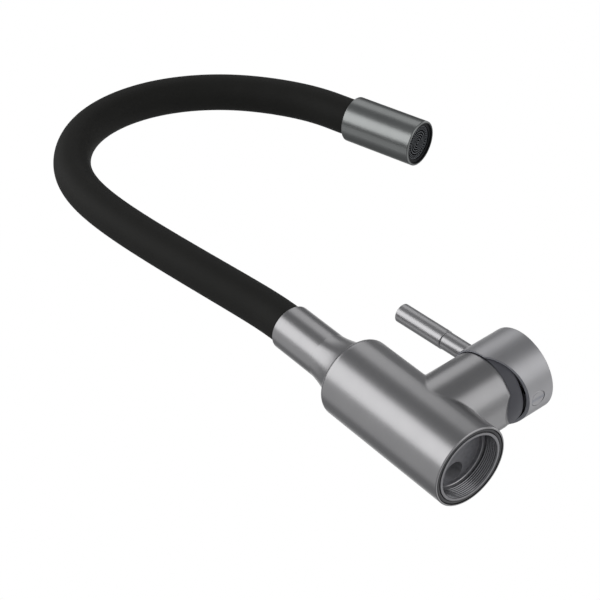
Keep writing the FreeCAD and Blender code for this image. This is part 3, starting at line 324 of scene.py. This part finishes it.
SHANK = {"root": 19.93, "depth": 0.5, "low": 0.4, "high": 9.3, "pitch": 1.25, "around": 160}
INLET = {"root": 4.97, "depth": 0.45, "low": 21.6, "high": 29.6, "pitch": 1.0, "around": 60}
threads = [
    thread_ring("shank_thread", (0, 0, 0), **SHANK),
    thread_ring("hot_inlet_thread", (-1.1, 11.65, 0), **INLET),
    thread_ring("cold_inlet_thread", (-1.1, -11.65, 0), **INLET),
]
for thread in threads:
    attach(thread, "base")

# %% [markdown]
# ## The jet former's grille
#
# Under the outlet, a dark disc breaks the water into a soft jet. Seen close, it has concentric
# walls and a ring of small cells in the widest of them, inside a plain rim. One surface gives all
# of it: on a polar grid, the height at a radius and an angle is a plate that is pressed in between
# the walls and inside each cell. Each wall is its middle radius and half its width. Heights are
# along the flow, from the hose's end.

# %% Build the grille
OUTLET_END = np.array([HOSE_END[0], 0.0, HOSE_END[1]])
FLOW = np.array([0.25499, 0.0, -0.96694])
BESIDE = np.array([0.96694, 0.0, 0.25499])
GRILLE_RADIUS = 11.63
GRILLE_FACE = 42.8
GRILLE_BACK = 39.8
GRILLE_DEPTH = 1.9
WALLS = [(0.9, 0.3), (2.6, 0.3), (4.2, 0.3), (5.8, 0.3), (7.5, 0.35), (9.7, 0.85), (11.3, 0.4)]
CELLS = 34
CELL_RING = 9.7
CELL_WIDTH = 1.0
CELL_REACH = 1.2
EDGE_SLOPE_WIDTH = 0.12
GRILLE_ROWS = 150
GRILLE_COLUMNS = 12 * CELLS
POLE_RADIUS = 0.3


def grille_height(radius, angle):
    """Depth below the face: grooves between the walls, and a ring of cells in the widest wall."""
    from_wall = np.minimum.reduce([np.abs(radius - middle) - half for middle, half in WALLS])
    grooves = np.clip(from_wall / EDGE_SLOPE_WIDTH, 0, 1)
    turn = (angle * CELLS / (2 * math.pi)) % 1.0
    sideways = CELL_WIDTH / 2 - np.abs(turn - 0.5) * 2 * math.pi * CELL_RING / CELLS
    endways = CELL_REACH / 2 - np.abs(radius - CELL_RING)
    cells = np.clip(np.minimum(sideways, endways) / EDGE_SLOPE_WIDTH, 0, 1)
    return np.maximum(grooves, cells) * GRILLE_DEPTH


def grille():
    """A disc whose face carries the pattern, with a side and a back; its poles are single
    points."""
    radius = np.linspace(POLE_RADIUS, GRILLE_RADIUS, GRILLE_ROWS)[:, None]
    angle = np.linspace(0, 2 * math.pi, GRILLE_COLUMNS, endpoint=False)[None, :]
    along = GRILLE_FACE - grille_height(radius, angle)
    rows = np.stack([radius * np.cos(angle), radius * np.sin(angle), along], axis=-1)
    back = rows[-1:].copy()
    back[..., 2] = GRILLE_BACK
    rows = np.concatenate([rows, back], axis=0)
    poles = [[0, 0, GRILLE_FACE - GRILLE_DEPTH], [0, 0, GRILLE_BACK]]
    points = np.vstack([rows.reshape(-1, 3), poles])
    front_fan, back_fan = end_fans(len(rows), GRILLE_COLUMNS)
    quads = grid_faces(len(rows), GRILLE_COLUMNS)
    faces = [*quads[:, ::-1], *front_fan[:, [0, 2, 1]], *back_fan[:, ::-1]]
    sideways = points[:, :1] * BESIDE + points[:, 1:2] * np.array([0, 1, 0])
    return OUTLET_END + sideways + points[:, 2:] * FLOW, faces


jet_grille = make_piece("jet_grille", *grille(), sharp_angle=50)
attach(jet_grille, "outlet")
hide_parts("aerator_insert")

# %% [markdown]
# ## The soft line where the branch leaves the body
#
# On the real tap the branch flows into the body with a small rounding, which catches the light as a
# thin line. Two cylinders meet where x = sqrt(R^2 - y^2) with y = r sin(a) and z = axis + r cos(a).
# From each point of that line the rounding reaches a little way out along the branch and a little
# way along the body, and a quarter bend joins the two. The back of the strip lies in the metal, so
# it is a closed piece with no loose edge.

# %% Build the rounding
BODY_RADIUS = 25.0
BRANCH_RADIUS = 23.95
BRANCH_AXIS = 40.0
ROUNDING = 0.9
ROUNDING_ROWS = 7
ROUNDING_COLUMNS = 240
INTO_THE_METAL = 0.4
STEEPEST_SINE = 0.9995


def branch_rounding():
    """Quadratic bends from the branch's wall to the body's, with the old corner as their middle
    control point."""
    angle = np.linspace(0, 2 * math.pi, ROUNDING_COLUMNS, endpoint=False)
    up, side = np.cos(angle), np.sin(angle)
    y, z = BRANCH_RADIUS * side, BRANCH_AXIS + BRANCH_RADIUS * up
    x = np.sqrt(BODY_RADIUS**2 - y**2)
    corner = np.stack([x, y, z], axis=-1)
    on_branch = corner + np.array([ROUNDING, 0, 0])
    wider = BRANCH_RADIUS + ROUNDING
    turned = np.arcsin(np.clip(wider * side / BODY_RADIUS, -STEEPEST_SINE, STEEPEST_SINE))
    across, beside = BODY_RADIUS * np.cos(turned), BODY_RADIUS * np.sin(turned)
    on_body = np.stack([across, beside, BRANCH_AXIS + wider * up], axis=-1)
    outwards = np.stack([x / BODY_RADIUS, y / BODY_RADIUS + side, up], axis=-1)
    inward = corner - INTO_THE_METAL * outwards
    t = np.linspace(0, 1, ROUNDING_ROWS)[:, None, None]
    bend = (1 - t) ** 2 * on_branch + 2 * t * (1 - t) * corner + t**2 * on_body
    return np.concatenate([bend, inward[None]], axis=0)


rows = branch_rounding()
faces = grid_faces(len(rows), ROUNDING_COLUMNS, wrap_rows=True)
rounding = make_piece("branch_rounding", rows, faces, sharp_angle=80)
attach(rounding, "base")

# %% [markdown]
# ## Finishes
#
# A finish is a small network of nodes that ends in one Principled shader. Three things make metal
# look brushed: a colour that varies a little, a roughness that follows the brush, and fine
# scratches as bumps. The scratches are a noise that is stretched: it changes fast along the turning
# axis and slowly across it, as a lathe leaves them. Everything reads the object's own coordinates,
# or the hose's own map, so the pattern stays on the piece from every side. The scales are per metre.

# %% Helpers for finishes
NOISE_LOW, NOISE_HIGH = 0.3, 0.7


def feed(tree, node, inputs):
    """Gives each of a node's inputs either a value or another node's output."""
    for key, value in inputs.items():
        if isinstance(value, bpy.types.NodeSocket):
            tree.links.new(value, node.inputs[key])
        else:
            node.inputs[key].default_value = value


def add(tree, kind, inputs=None, **settings):
    """A node with its settings and its inputs."""
    node = tree.nodes.new("ShaderNode" + kind)
    for key, value in settings.items():
        setattr(node, key, value)
    feed(tree, node, inputs or {})
    return node


def new_finish(name):
    """An empty material with its Principled shader: (the material, its tree, the shader)."""
    material = bpy.data.materials.new(name)
    material.use_nodes = True
    tree = material.node_tree
    tree.nodes.clear()
    shader = add(tree, "BsdfPrincipled")
    add(tree, "OutputMaterial", {"Surface": shader.outputs["BSDF"]})
    return material, tree, shader


def place_of(tree, scale=(1, 1, 1), turn=(0, 0, 0), layer=None):
    """Where a point is, from the object's own coordinates or from the hose's map: first turned into
    the piece's own frame, whose Z is the piece's axis, and then stretched. The texture kind of
    mapping does both backwards, in that order, so it takes the turn from Z to the axis, and one
    over each scale."""
    if layer:
        source = add(tree, "UVMap", uv_map=layer).outputs[0]
    else:
        source = add(tree, "TexCoord").outputs["Object"]
    backwards = tuple(1 / part for part in scale)
    inputs = {"Vector": source, "Rotation": turn, "Scale": backwards}
    return add(tree, "Mapping", inputs, vector_type="TEXTURE").outputs[0]


def noise(tree, vector, scale, detail=3.0, rough=0.55):
    """A cloudy pattern between 0 and 1."""
    inputs = {"Vector": vector, "Scale": scale, "Detail": detail, "Roughness": rough}
    return add(tree, "TexNoise", inputs).outputs["Fac"]


def remap(tree, value, low, high):
    """Stretches a noise's usual range onto the range that a socket needs."""
    ends = {"From Min": NOISE_LOW, "From Max": NOISE_HIGH, "To Min": low, "To Max": high}
    return add(tree, "MapRange", {"Value": value, **ends}).outputs[0]


def tint(tree, pattern, dark, light):
    """A colour between two, by a pattern."""
    ramp = add(tree, "ValToRGB", {0: pattern})
    ends = zip(ramp.color_ramp.elements, (NOISE_LOW, NOISE_HIGH), (dark, light))
    for element, position, colour in ends:
        element.position = position
        element.color = (*colour, 1)
    return ramp.outputs[0]


def mix(tree, share, first, second):
    """A number between two: the first where share is 0, the second where it is 1."""
    return add(tree, "Mix", {0: share, 2: first, 3: second}).outputs[0]


def mix_colours(tree, share, first, second):
    """A colour between two, in the same way."""
    return add(tree, "Mix", {0: share, 6: first, 7: second}, data_type="RGBA").outputs[2]


def maths(tree, operation, first, second):
    """What an operation makes of two numbers."""
    return add(tree, "Math", {0: first, 1: second}, operation=operation).outputs[0]


# %% [markdown]
# ### Masks
#
# A brush doesn't reach into a bore, so the walls in there are cast, and some of them carry painted
# shade or painted light. A mask is a number that is 1 in such a place and 0 elsewhere, worked out
# from where the point is: its height, and its distance from an axis, which is the root of the sum of
# two squares.

# %% Helpers for masks


def mask(tree, value, limit, above=True):
    """1 where a length is above (or below) a limit in millimetres, else 0."""
    return maths(tree, "GREATER_THAN" if above else "LESS_THAN", value, limit * MM)


def both_of(tree, first, second):
    """The product of two masks: 1 where both are 1."""
    return maths(tree, "MULTIPLY", first, second)


def between(tree, value, low, high):
    """1 where a length is between two limits in millimetres, else 0."""
    return both_of(tree, mask(tree, value, low), mask(tree, value, high, above=False))


def distance_from(tree, axis, level=0.0):
    """How far a point is from Z, or from an axis along X at a level, and the point's own x, y and
    z."""
    parts = add(tree, "SeparateXYZ", {0: add(tree, "TexCoord").outputs["Object"]}).outputs
    first, second = (parts[0], parts[1]) if axis == "z" else (parts[1], parts[2])
    lowered = maths(tree, "SUBTRACT", second, level * MM)
    squares = [maths(tree, "POWER", part, 2.0) for part in (first, lowered)]
    return maths(tree, "POWER", maths(tree, "ADD", *squares), 0.5), parts


# %% [markdown]
# ### Brushed gunmetal
#
# The body, neck, handle, lever and sleeve are plated a dark satin grey. On a round piece the brush
# runs round the axis, so each piece's scratches are stretched across its own axis. The body has two
# axes, its own and the branch's: outside the body's radius the point is on the branch, and the
# other stretch takes over.

# %% Mix the metal
BRUSH = (60, 60, 5200)
BRANCH_BRUSH = (5200, 60, 60)
BRUSH_NOISE = {"scale": 1.0, "detail": 4.0, "rough": 0.7}
METAL_CLOUDS = {"scale": 55.0, "detail": 4.0}
CLOUD_SHARE = 0.5
SMOOTHER, ROUGHER = 0.015, 0.02
SCRATCH_DEPTH = 0.02
BODY_OUTSIDE = 25.1
CAST_ROUGHNESS = 0.5


def brushed_metal(
    name, dark, light, roughness, scratch, turn=(0, 0, 0), branched=False, inside=None, edge=1.0
):
    """Satin metal with scratches round the piece's axis, which is Z turned by the given angles, and
    round the branch's axis too if it is branched. inside gives the mask and the colour of the
    places that the brush never reached, with any painted shade or painted light in them. edge is how
    much of the light the metal keeps where it turns away."""
    material, tree, shader = new_finish(name)
    brush = noise(tree, place_of(tree, BRUSH, turn), **BRUSH_NOISE)
    if branched:
        on_branch = noise(tree, place_of(tree, BRANCH_BRUSH, turn), **BRUSH_NOISE)
        radius, _ = distance_from(tree, "z")
        brush = mix(tree, mask(tree, radius, BODY_OUTSIDE), brush, on_branch)
    cloud = noise(tree, place_of(tree), **METAL_CLOUDS)
    colour = tint(tree, mix(tree, CLOUD_SHARE, brush, cloud), dark, light)
    gloss = remap(tree, brush, roughness - SMOOTHER, roughness + ROUGHER)
    metallic = 1.0
    if inside:
        hidden, wall = inside(tree)
        colour = mix_colours(tree, hidden, colour, wall)
        gloss = mix(tree, hidden, gloss, CAST_ROUGHNESS)
        metallic = maths(tree, "SUBTRACT", 1.0, hidden)
    depth = {"Height": brush, "Strength": scratch, "Distance": SCRATCH_DEPTH * MM}
    bump = add(tree, "Bump", depth).outputs[0]
    feed(tree, shader, {"Base Color": colour, "Roughness": gloss, "Metallic": metallic})
    feed(tree, shader, {"Normal": bump, "Specular Tint": (edge, edge, edge, 1)})
    return material


# %% [markdown]
# ### The insides
#
# The walls inside the foot, the cap and the sleeve's mouth have no brush marks. The foot's bore is
# dull and dark. The rest is painted light and shade: the foot's inlets are painted paler against
# the shade in the holes, the lip round the bore is darkened with painted shade, the cap's hollow is
# painted a blue-grey shade, and the mouth is painted black for its shade. Each function gives the
# mask of one such place and its colour. The limits are radii, heights and lengths in millimetres.

# %% Mix the insides
CAST_GRAIN = 400.0
FOOT_FLOOR = {"dark": (0.165, 0.165, 0.178), "light": (0.21, 0.21, 0.225)}
# Painted light: the inlets get a paler colour than the floor, against the shade in the holes.
INLETS_PAINTED_LIGHT = {"dark": (0.27, 0.27, 0.285), "light": (0.34, 0.34, 0.36)}
# Painted shade: a dull blue-grey for the cap's hollow and the inner part of its rim.
CAP_PAINTED_SHADE = {"dark": (0.30, 0.305, 0.335), "light": (0.34, 0.345, 0.38)}
# Painted shade: near black for the wall of the sleeve's mouth.
MOUTH_PAINTED_SHADE = {"dark": (0.010, 0.010, 0.011), "light": (0.014, 0.014, 0.015)}
BORE_WITHIN = 19.9
BORE_HEIGHTS = (0.4, 45)
LEDGE_BEVEL = (9.63, 10.03)
LIP_WITHIN = 21.45
LIP_BELOW = 3
# Painted shade: the share of the dull dark finish that the lip gets, which darkens it.
LIP_PAINTED_SHADE_SHARE = 0.5
INLETS_ABOVE = 12.15
CAP_WITHIN = 24.95
CAP_UP_TO = 75
MOUTH_WITHIN = 14.25


def cast(tree, dark, light):
    """The colour of a wall that no brush has reached, or of the painted shade or light on it."""
    return tint(tree, noise(tree, place_of(tree), CAST_GRAIN), dark, light)


def foot_cast_and_painted_light(tree):
    """The bore of the foot and all that lies above it, but for the fine bevel on the ledge in it.
    The lip round the bore takes half of the dull finish, as painted shade, and the inlets above its
    floor are painted paler, as painted light against the shade in them."""
    radius, parts = distance_from(tree, "z")
    height = parts[2]
    deep = between(tree, height, *BORE_HEIGHTS)
    dull = maths(tree, "SUBTRACT", deep, between(tree, height, *LEDGE_BEVEL))
    bore = both_of(tree, mask(tree, radius, BORE_WITHIN, above=False), dull)
    low = mask(tree, height, LIP_BELOW, above=False)
    lip = both_of(tree, mask(tree, radius, LIP_WITHIN, above=False), low)
    # Painted shade: the lip gets part of the dull dark finish.
    hidden = maths(tree, "MAXIMUM", bore, maths(tree, "MULTIPLY", lip, LIP_PAINTED_SHADE_SHARE))
    inlets = mask(tree, height, INLETS_ABOVE)
    # Painted light: the inlets above the floor get the paler colour.
    colour = mix_colours(tree, inlets, cast(tree, **FOOT_FLOOR), cast(tree, **INLETS_PAINTED_LIGHT))
    return hidden, colour


def cap_hollow_painted_shade(tree):
    """The hollow of the cap, with the inner part of its rim: a dull blue-grey painted as the shade
    under the cap.
    """
    radius, parts = distance_from(tree, "x", BRANCH_AXIS)
    hollow = mask(tree, radius, CAP_WITHIN, above=False)
    hidden = both_of(tree, hollow, mask(tree, parts[0], CAP_UP_TO, above=False))
    return hidden, cast(tree, **CAP_PAINTED_SHADE)


def mouth_painted_shade(tree):
    """The wall of the sleeve's mouth, up to its rim, painted black as its shade: the length of the
    cross product of a place with the sleeve's direction is its distance from the axis."""
    place = add(tree, "TexCoord").outputs["Object"]
    end, flow = tuple(OUTLET_END * MM), tuple(FLOW)
    offset = add(tree, "VectorMath", {0: place, 1: end}, operation="SUBTRACT").outputs[0]
    across = add(tree, "VectorMath", {0: offset, 1: flow}, operation="CROSS_PRODUCT").outputs[0]
    radius = add(tree, "VectorMath", {0: across}, operation="LENGTH").outputs["Value"]
    return mask(tree, radius, MOUTH_WITHIN, above=False), cast(tree, **MOUTH_PAINTED_SHADE)


# %% List the metals
ALONG_X = (0, math.pi / 2, 0)
LEAN = math.radians(4.2)
FLOW_TURN = math.atan2(-FLOW[0], -FLOW[2])
GUNMETAL = {"dark": (0.292, 0.289, 0.295), "light": (0.325, 0.322, 0.327)}
finishes = {
    "body": brushed_metal(
        "gunmetal_body", **GUNMETAL, roughness=0.3, scratch=0.05, branched=True, inside=foot_cast_and_painted_light
    ),
    "neck": brushed_metal("gunmetal_neck", **GUNMETAL, roughness=0.30, scratch=0.02),
    "handle": brushed_metal(
        "gunmetal_handle",
        dark=(0.384, 0.382, 0.394),
        light=(0.420, 0.418, 0.430),
        roughness=0.42,
        scratch=0.05,
        turn=ALONG_X,
        inside=cap_hollow_painted_shade,
    ),
    "lever": brushed_metal(
        "gunmetal_lever",
        dark=(0.356, 0.353, 0.360),
        light=(0.370, 0.367, 0.374),
        roughness=0.34,
        scratch=0.0,
        turn=(0, -LEAN, 0),
    ),
    "sleeve": brushed_metal(
        "gunmetal_sleeve",
        dark=(0.218, 0.225, 0.223),
        light=(0.240, 0.248, 0.246),
        roughness=0.30,
        scratch=0.02,
        turn=(0, FLOW_TURN, 0),
        inside=mouth_painted_shade,
        edge=0.5,
    ),
    # The threads' dark grey is painted shade of the bores that they lie in.
    "thread": brushed_metal(
        "cut_thread_painted_shade",
        dark=(0.19, 0.19, 0.20),
        light=(0.24, 0.24, 0.25),
        roughness=0.27,
        scratch=0.03,
    ),
    "plain": brushed_metal(
        "machined_steel",
        dark=(0.42, 0.42, 0.43),
        light=(0.52, 0.52, 0.53),
        roughness=0.3,
        scratch=0.3,
    ),
    "brass": brushed_metal(
        "turned_brass",
        dark=(0.55, 0.40, 0.17),
        light=(0.68, 0.52, 0.26),
        roughness=0.3,
        scratch=0.3,
        turn=ALONG_X,
    ),
}
print(len(finishes), "metals")

# %% [markdown]
# ### Silicone, plastics and ceramic
#
# The hose is matt black silicone: nearly no colour, a rough surface with a fine dusty grain, and a
# soft shine only where it turns away. Its grain reads the hose's own map, so that it stays put when
# the hose bends. The other soft or moulded pieces share one recipe with their own colour, roughness
# and grain, and so does the hose's core, which is dark phosphated steel. The dome's dark colour is
# painted shade, and the grille gets black painted shade in its grooves and cells.

# %% Mix the soft and moulded finishes
MOULDED_CLOUDS = {"scale": 45.0, "detail": 4.0}
GRAIN_NOISE = {"detail": 3.0, "rough": 0.6}
GRAIN_HEIGHT = 0.05
GRAIN_SMOOTHER, GRAIN_ROUGHER = 0.05, 0.06
# Painted shade: black at the bottom of the grille's grooves and cells.
SUNK_PAINTED_SHADE = {"dark": (0.002, 0.002, 0.002), "light": (0.003, 0.003, 0.004)}
FACE_MARGIN = 0.08


def moulded(name, dark, light, roughness, shine, grain=900.0, bumps=0.15, layer=None, painted_shade=None):
    """A moulded surface: a slightly uneven colour, a fine grain as bumps, and one plain amount of
    shine. The last argument, if given, is a function of the tree that gives 1 at the bottom of deep
    places, where the colour goes to black as painted shade."""
    material, tree, shader = new_finish(name)
    where = place_of(tree, layer=layer)
    cloud = noise(tree, where, **MOULDED_CLOUDS)
    fine = noise(tree, where, grain, **GRAIN_NOISE)
    colour = tint(tree, cloud, dark, light)
    # Painted shade: the colour goes to black at the bottom of deep places.
    if painted_shade:
        black = tint(tree, cloud, **SUNK_PAINTED_SHADE)
        colour = mix_colours(tree, painted_shade(tree), colour, black)
    gloss = remap(tree, fine, roughness - GRAIN_SMOOTHER, roughness + GRAIN_ROUGHER)
    depth = {"Height": fine, "Strength": bumps, "Distance": GRAIN_HEIGHT * MM}
    bump = add(tree, "Bump", depth).outputs[0]
    feed(tree, shader, {"Base Color": colour, "Roughness": gloss, "Normal": bump})
    feed(tree, shader, {"Specular IOR Level": shine})
    return material


def grille_painted_shade(tree):
    """1 where a point of the grille lies well under its face, measured along the flow, where it gets
    black painted shade.
    """
    place = add(tree, "TexCoord").outputs["Object"]
    inputs = {0: place, 1: tuple(FLOW)}
    along = add(tree, "VectorMath", inputs, operation="DOT_PRODUCT").outputs["Value"]
    level = float(OUTLET_END @ FLOW) + GRILLE_FACE - FACE_MARGIN
    return mask(tree, along, level, above=False)


finishes |= {
    "hose": moulded(
        "hose_silicone",
        dark=(0.0108, 0.0108, 0.0097),
        light=(0.0127, 0.0127, 0.0115),
        roughness=0.66,
        shine=0.16,
        grain=1500.0,
        bumps=0.06,
        layer="along_hose",
    ),
    "core": moulded(
        "phosphated_steel",
        dark=(0.0100, 0.0100, 0.0095),
        light=(0.0135, 0.0135, 0.0125),
        roughness=0.6,
        shine=0.16,
    ),
    # The dome's dark slate colour is painted shade: it stands for the shade under the cap.
    "dome": moulded(
        "dome_painted_shade",
        dark=(0.077, 0.078, 0.090),
        light=(0.089, 0.090, 0.103),
        roughness=0.5,
        shine=0.3,
    ),
    "rubber": moulded(
        "seal_rubber",
        dark=(0.052, 0.052, 0.055),
        light=(0.066, 0.066, 0.070),
        roughness=0.5,
        shine=0.35,
    ),
    "grille": moulded(
        "jet_grille_slate",
        dark=(0.100, 0.106, 0.115),
        light=(0.118, 0.124, 0.134),
        roughness=0.45,
        shine=0.2,
        painted_shade=grille_painted_shade,
    ),
    "black": moulded(
        "jet_black",
        dark=(0.006, 0.007, 0.008),
        light=(0.012, 0.013, 0.015),
        roughness=0.5,
        shine=0.15,
    ),
    "milky": moulded(
        "milky_plastic",
        dark=(0.66, 0.67, 0.65),
        light=(0.78, 0.78, 0.76),
        roughness=0.4,
        shine=0.5,
    ),
    "grey": moulded(
        "cartridge_plastic",
        dark=(0.45, 0.46, 0.48),
        light=(0.56, 0.57, 0.59),
        roughness=0.4,
        shine=0.5,
    ),
    "ceramic": moulded(
        "lapped_ceramic",
        dark=(0.80, 0.79, 0.76),
        light=(0.88, 0.87, 0.84),
        roughness=0.12,
        shine=0.5,
        grain=2500.0,
        bumps=0.05,
    ),
}
print(len(finishes), "finishes")

# %% Give every piece its finish
HOSE_LENGTHS = range(1, 6)
WEARS = {
    "body": ["mixer_body"],
    "neck": ["spout_collar"],
    "handle": ["handle_cap", "grub_screw_plug"],
    "lever": ["lever_stem", "lever_grip"],
    "sleeve": ["outlet_sleeve"],
    "plain": ["snap_ring", "spindle_pin", "handle_grub_screw", "spindle"],
    "core": [f"hose_core_{number}" for number in HOSE_LENGTHS],
    "brass": ["cartridge_nut", "hose_lower_fitting", "hose_upper_fitting"],
    "dome": ["dome_cover"],
    "rubber": ["base_seal", "collar_o_rings", "aerator_seal", "cartridge_seals"],
    "black": ["aerator_housing"],
    "milky": ["split_bush", "slide_washer", *(f"water_tube_{number}" for number in HOSE_LENGTHS)],
    "grey": ["cartridge_housing", "cartridge_base", "cartridge_rotor", "disc_carrier"],
    "ceramic": ["ceramic_disc_fixed", "ceramic_disc_moving"],
}


def wear(piece, finish):
    """Gives a piece one finish and no other."""
    piece.data.materials.clear()
    piece.data.materials.append(finishes[finish])


for finish, names in WEARS.items():
    for name in names:
        wear(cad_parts[name], finish)
for piece in hose_pieces:
    wear(piece, "hose")
for piece in threads:
    wear(piece, "thread")
wear(jet_grille, "grille")
wear(rounding, "body")
left = [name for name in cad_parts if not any(name in names for names in WEARS.values())]
print("solids without a finish of their own:", left)

# %% [markdown]
# ## Light and background
#
# Metal shows what is round it more than its own colour, so the bands on the round pieces are
# pictures of the lamps. A tall softbox behind the camera's left gives the broad light band, a
# smaller one the weak second band, and a low one the light from underneath. Three more fill the
# left, the far side and the side of the branch. The room between them is a plain grey. Each row of
# the table is a lamp's name, where it stands, in degrees round Z from +X and above the horizon, the
# width and the height that it covers, in degrees, and its brightness. All the lamps hang at one
# distance from the target, here in metres.

# %% Hang the lamps
TARGET = Vector((0.05, 0.0, 0.14))
LAMP_DISTANCE = 1.7
LAMPS = [
    ("key_softbox", 216.5, 38, 45, 74, 1.8),
    ("second_softbox", 314, 42, 34, 28, 0.85),
    ("low_softbox", 312, -46, 56, 44, 0.95),
    ("left_fill", 160, 32, 44, 46, 0.42),
    ("far_board", 50, -40, 86, 68, 0.47),
    ("side_strip", 0, 0, 34, 30, 1.3),
]


def softbox(name, turn, rise, width, height, brightness):
    """An oblong lamp that faces the tap. Its power is brightness x pi x area."""
    turn, rise = math.radians(turn), math.radians(rise)
    level, up = math.cos(rise), math.sin(rise)
    towards = Vector((level * math.cos(turn), level * math.sin(turn), up))
    lamp = bpy.data.lights.new(name, "AREA")
    lamp.shape = "RECTANGLE"
    lamp.size = 2 * LAMP_DISTANCE * math.tan(math.radians(width / 2))
    lamp.size_y = 2 * LAMP_DISTANCE * math.tan(math.radians(height / 2))
    lamp.energy = brightness * math.pi * lamp.size * lamp.size_y
    box = bpy.data.objects.new(name, lamp)
    bpy.context.scene.collection.objects.link(box)
    box.rotation_mode = "QUATERNION"
    box.rotation_quaternion = towards.to_track_quat("Z", "Y")
    box.location = TARGET + towards * LAMP_DISTANCE
    box.visible_camera = False
    print(f"{name}: {lamp.size:.2f} x {lamp.size_y:.2f} m, {lamp.energy:.1f} W")


for lamp_row in LAMPS:
    softbox(*lamp_row)

# %% [markdown]
# ### The room
#
# The picture's white background is a white backdrop, which the world gives in the direction that
# the camera looks, to the camera and also to gloss, so that the edges of the metal pick it up. It
# is full within one angle of that direction and gone beyond another. The pale floor lies well
# below, because the camera looks up from below.

# %% Set up the world and the floor
WHITE = (1, 1, 1, 1)
ROOM_COLOUR = (0.97, 0.98, 1.0, 1)
ROOM_STRENGTH = 0.30
BACKDROP_FULL = 14
BACKDROP_GONE = 31
FLOOR_HALF = 6000.0
FLOOR_LEVEL = -1400.0
PAPER = {"dark": (0.86, 0.86, 0.86), "light": (0.9, 0.9, 0.9)}
PAPER_CLOUDS = 2.0
PAPER_ROUGHNESS = 0.9


def make_world():
    """A grey room with a white backdrop round the way that the camera looks."""
    world = bpy.data.worlds.new("studio")
    bpy.context.scene.world = world
    world.use_nodes = True
    tree = world.node_tree
    tree.nodes.clear()
    way = add(tree, "TexCoord").outputs["Generated"]
    inputs = {0: way, 1: tuple(-BACK)}
    facing = add(tree, "VectorMath", inputs, operation="DOT_PRODUCT").outputs["Value"]
    edges = {
        "From Min": math.cos(math.radians(BACKDROP_GONE)),
        "From Max": math.cos(math.radians(BACKDROP_FULL)),
    }
    inputs = {"Value": facing, **edges}
    backdrop = add(tree, "MapRange", inputs, interpolation_type="SMOOTHSTEP").outputs[0]
    ray = add(tree, "LightPath").outputs
    gloss = maths(tree, "MAXIMUM", ray["Is Glossy Ray"], ray["Is Transmission Ray"])
    shown = maths(tree, "MULTIPLY", gloss, backdrop)
    white = maths(tree, "MAXIMUM", ray["Is Camera Ray"], shown)
    room = add(tree, "Background", {"Color": ROOM_COLOUR, "Strength": ROOM_STRENGTH}).outputs[0]
    paper = add(tree, "Background", {"Color": WHITE, "Strength": 1.0}).outputs[0]
    mixed = add(tree, "MixShader", {0: white, 1: room, 2: paper}).outputs[0]
    add(tree, "OutputWorld", {"Surface": mixed})


def make_floor():
    """A wide pale floor below the camera."""
    around = [(-1, -1), (1, -1), (1, 1), (-1, 1)]
    corners = [(x * FLOOR_HALF, y * FLOOR_HALF, FLOOR_LEVEL) for x, y in around]
    floor = make_piece("studio_floor", corners, [(0, 1, 2, 3)])
    material, tree, shader = new_finish("floor_paper")
    colour = tint(tree, noise(tree, place_of(tree), PAPER_CLOUDS), **PAPER)
    feed(tree, shader, {"Base Color": colour, "Roughness": PAPER_ROUGHNESS})
    floor.data.materials.append(material)


make_world()
make_floor()
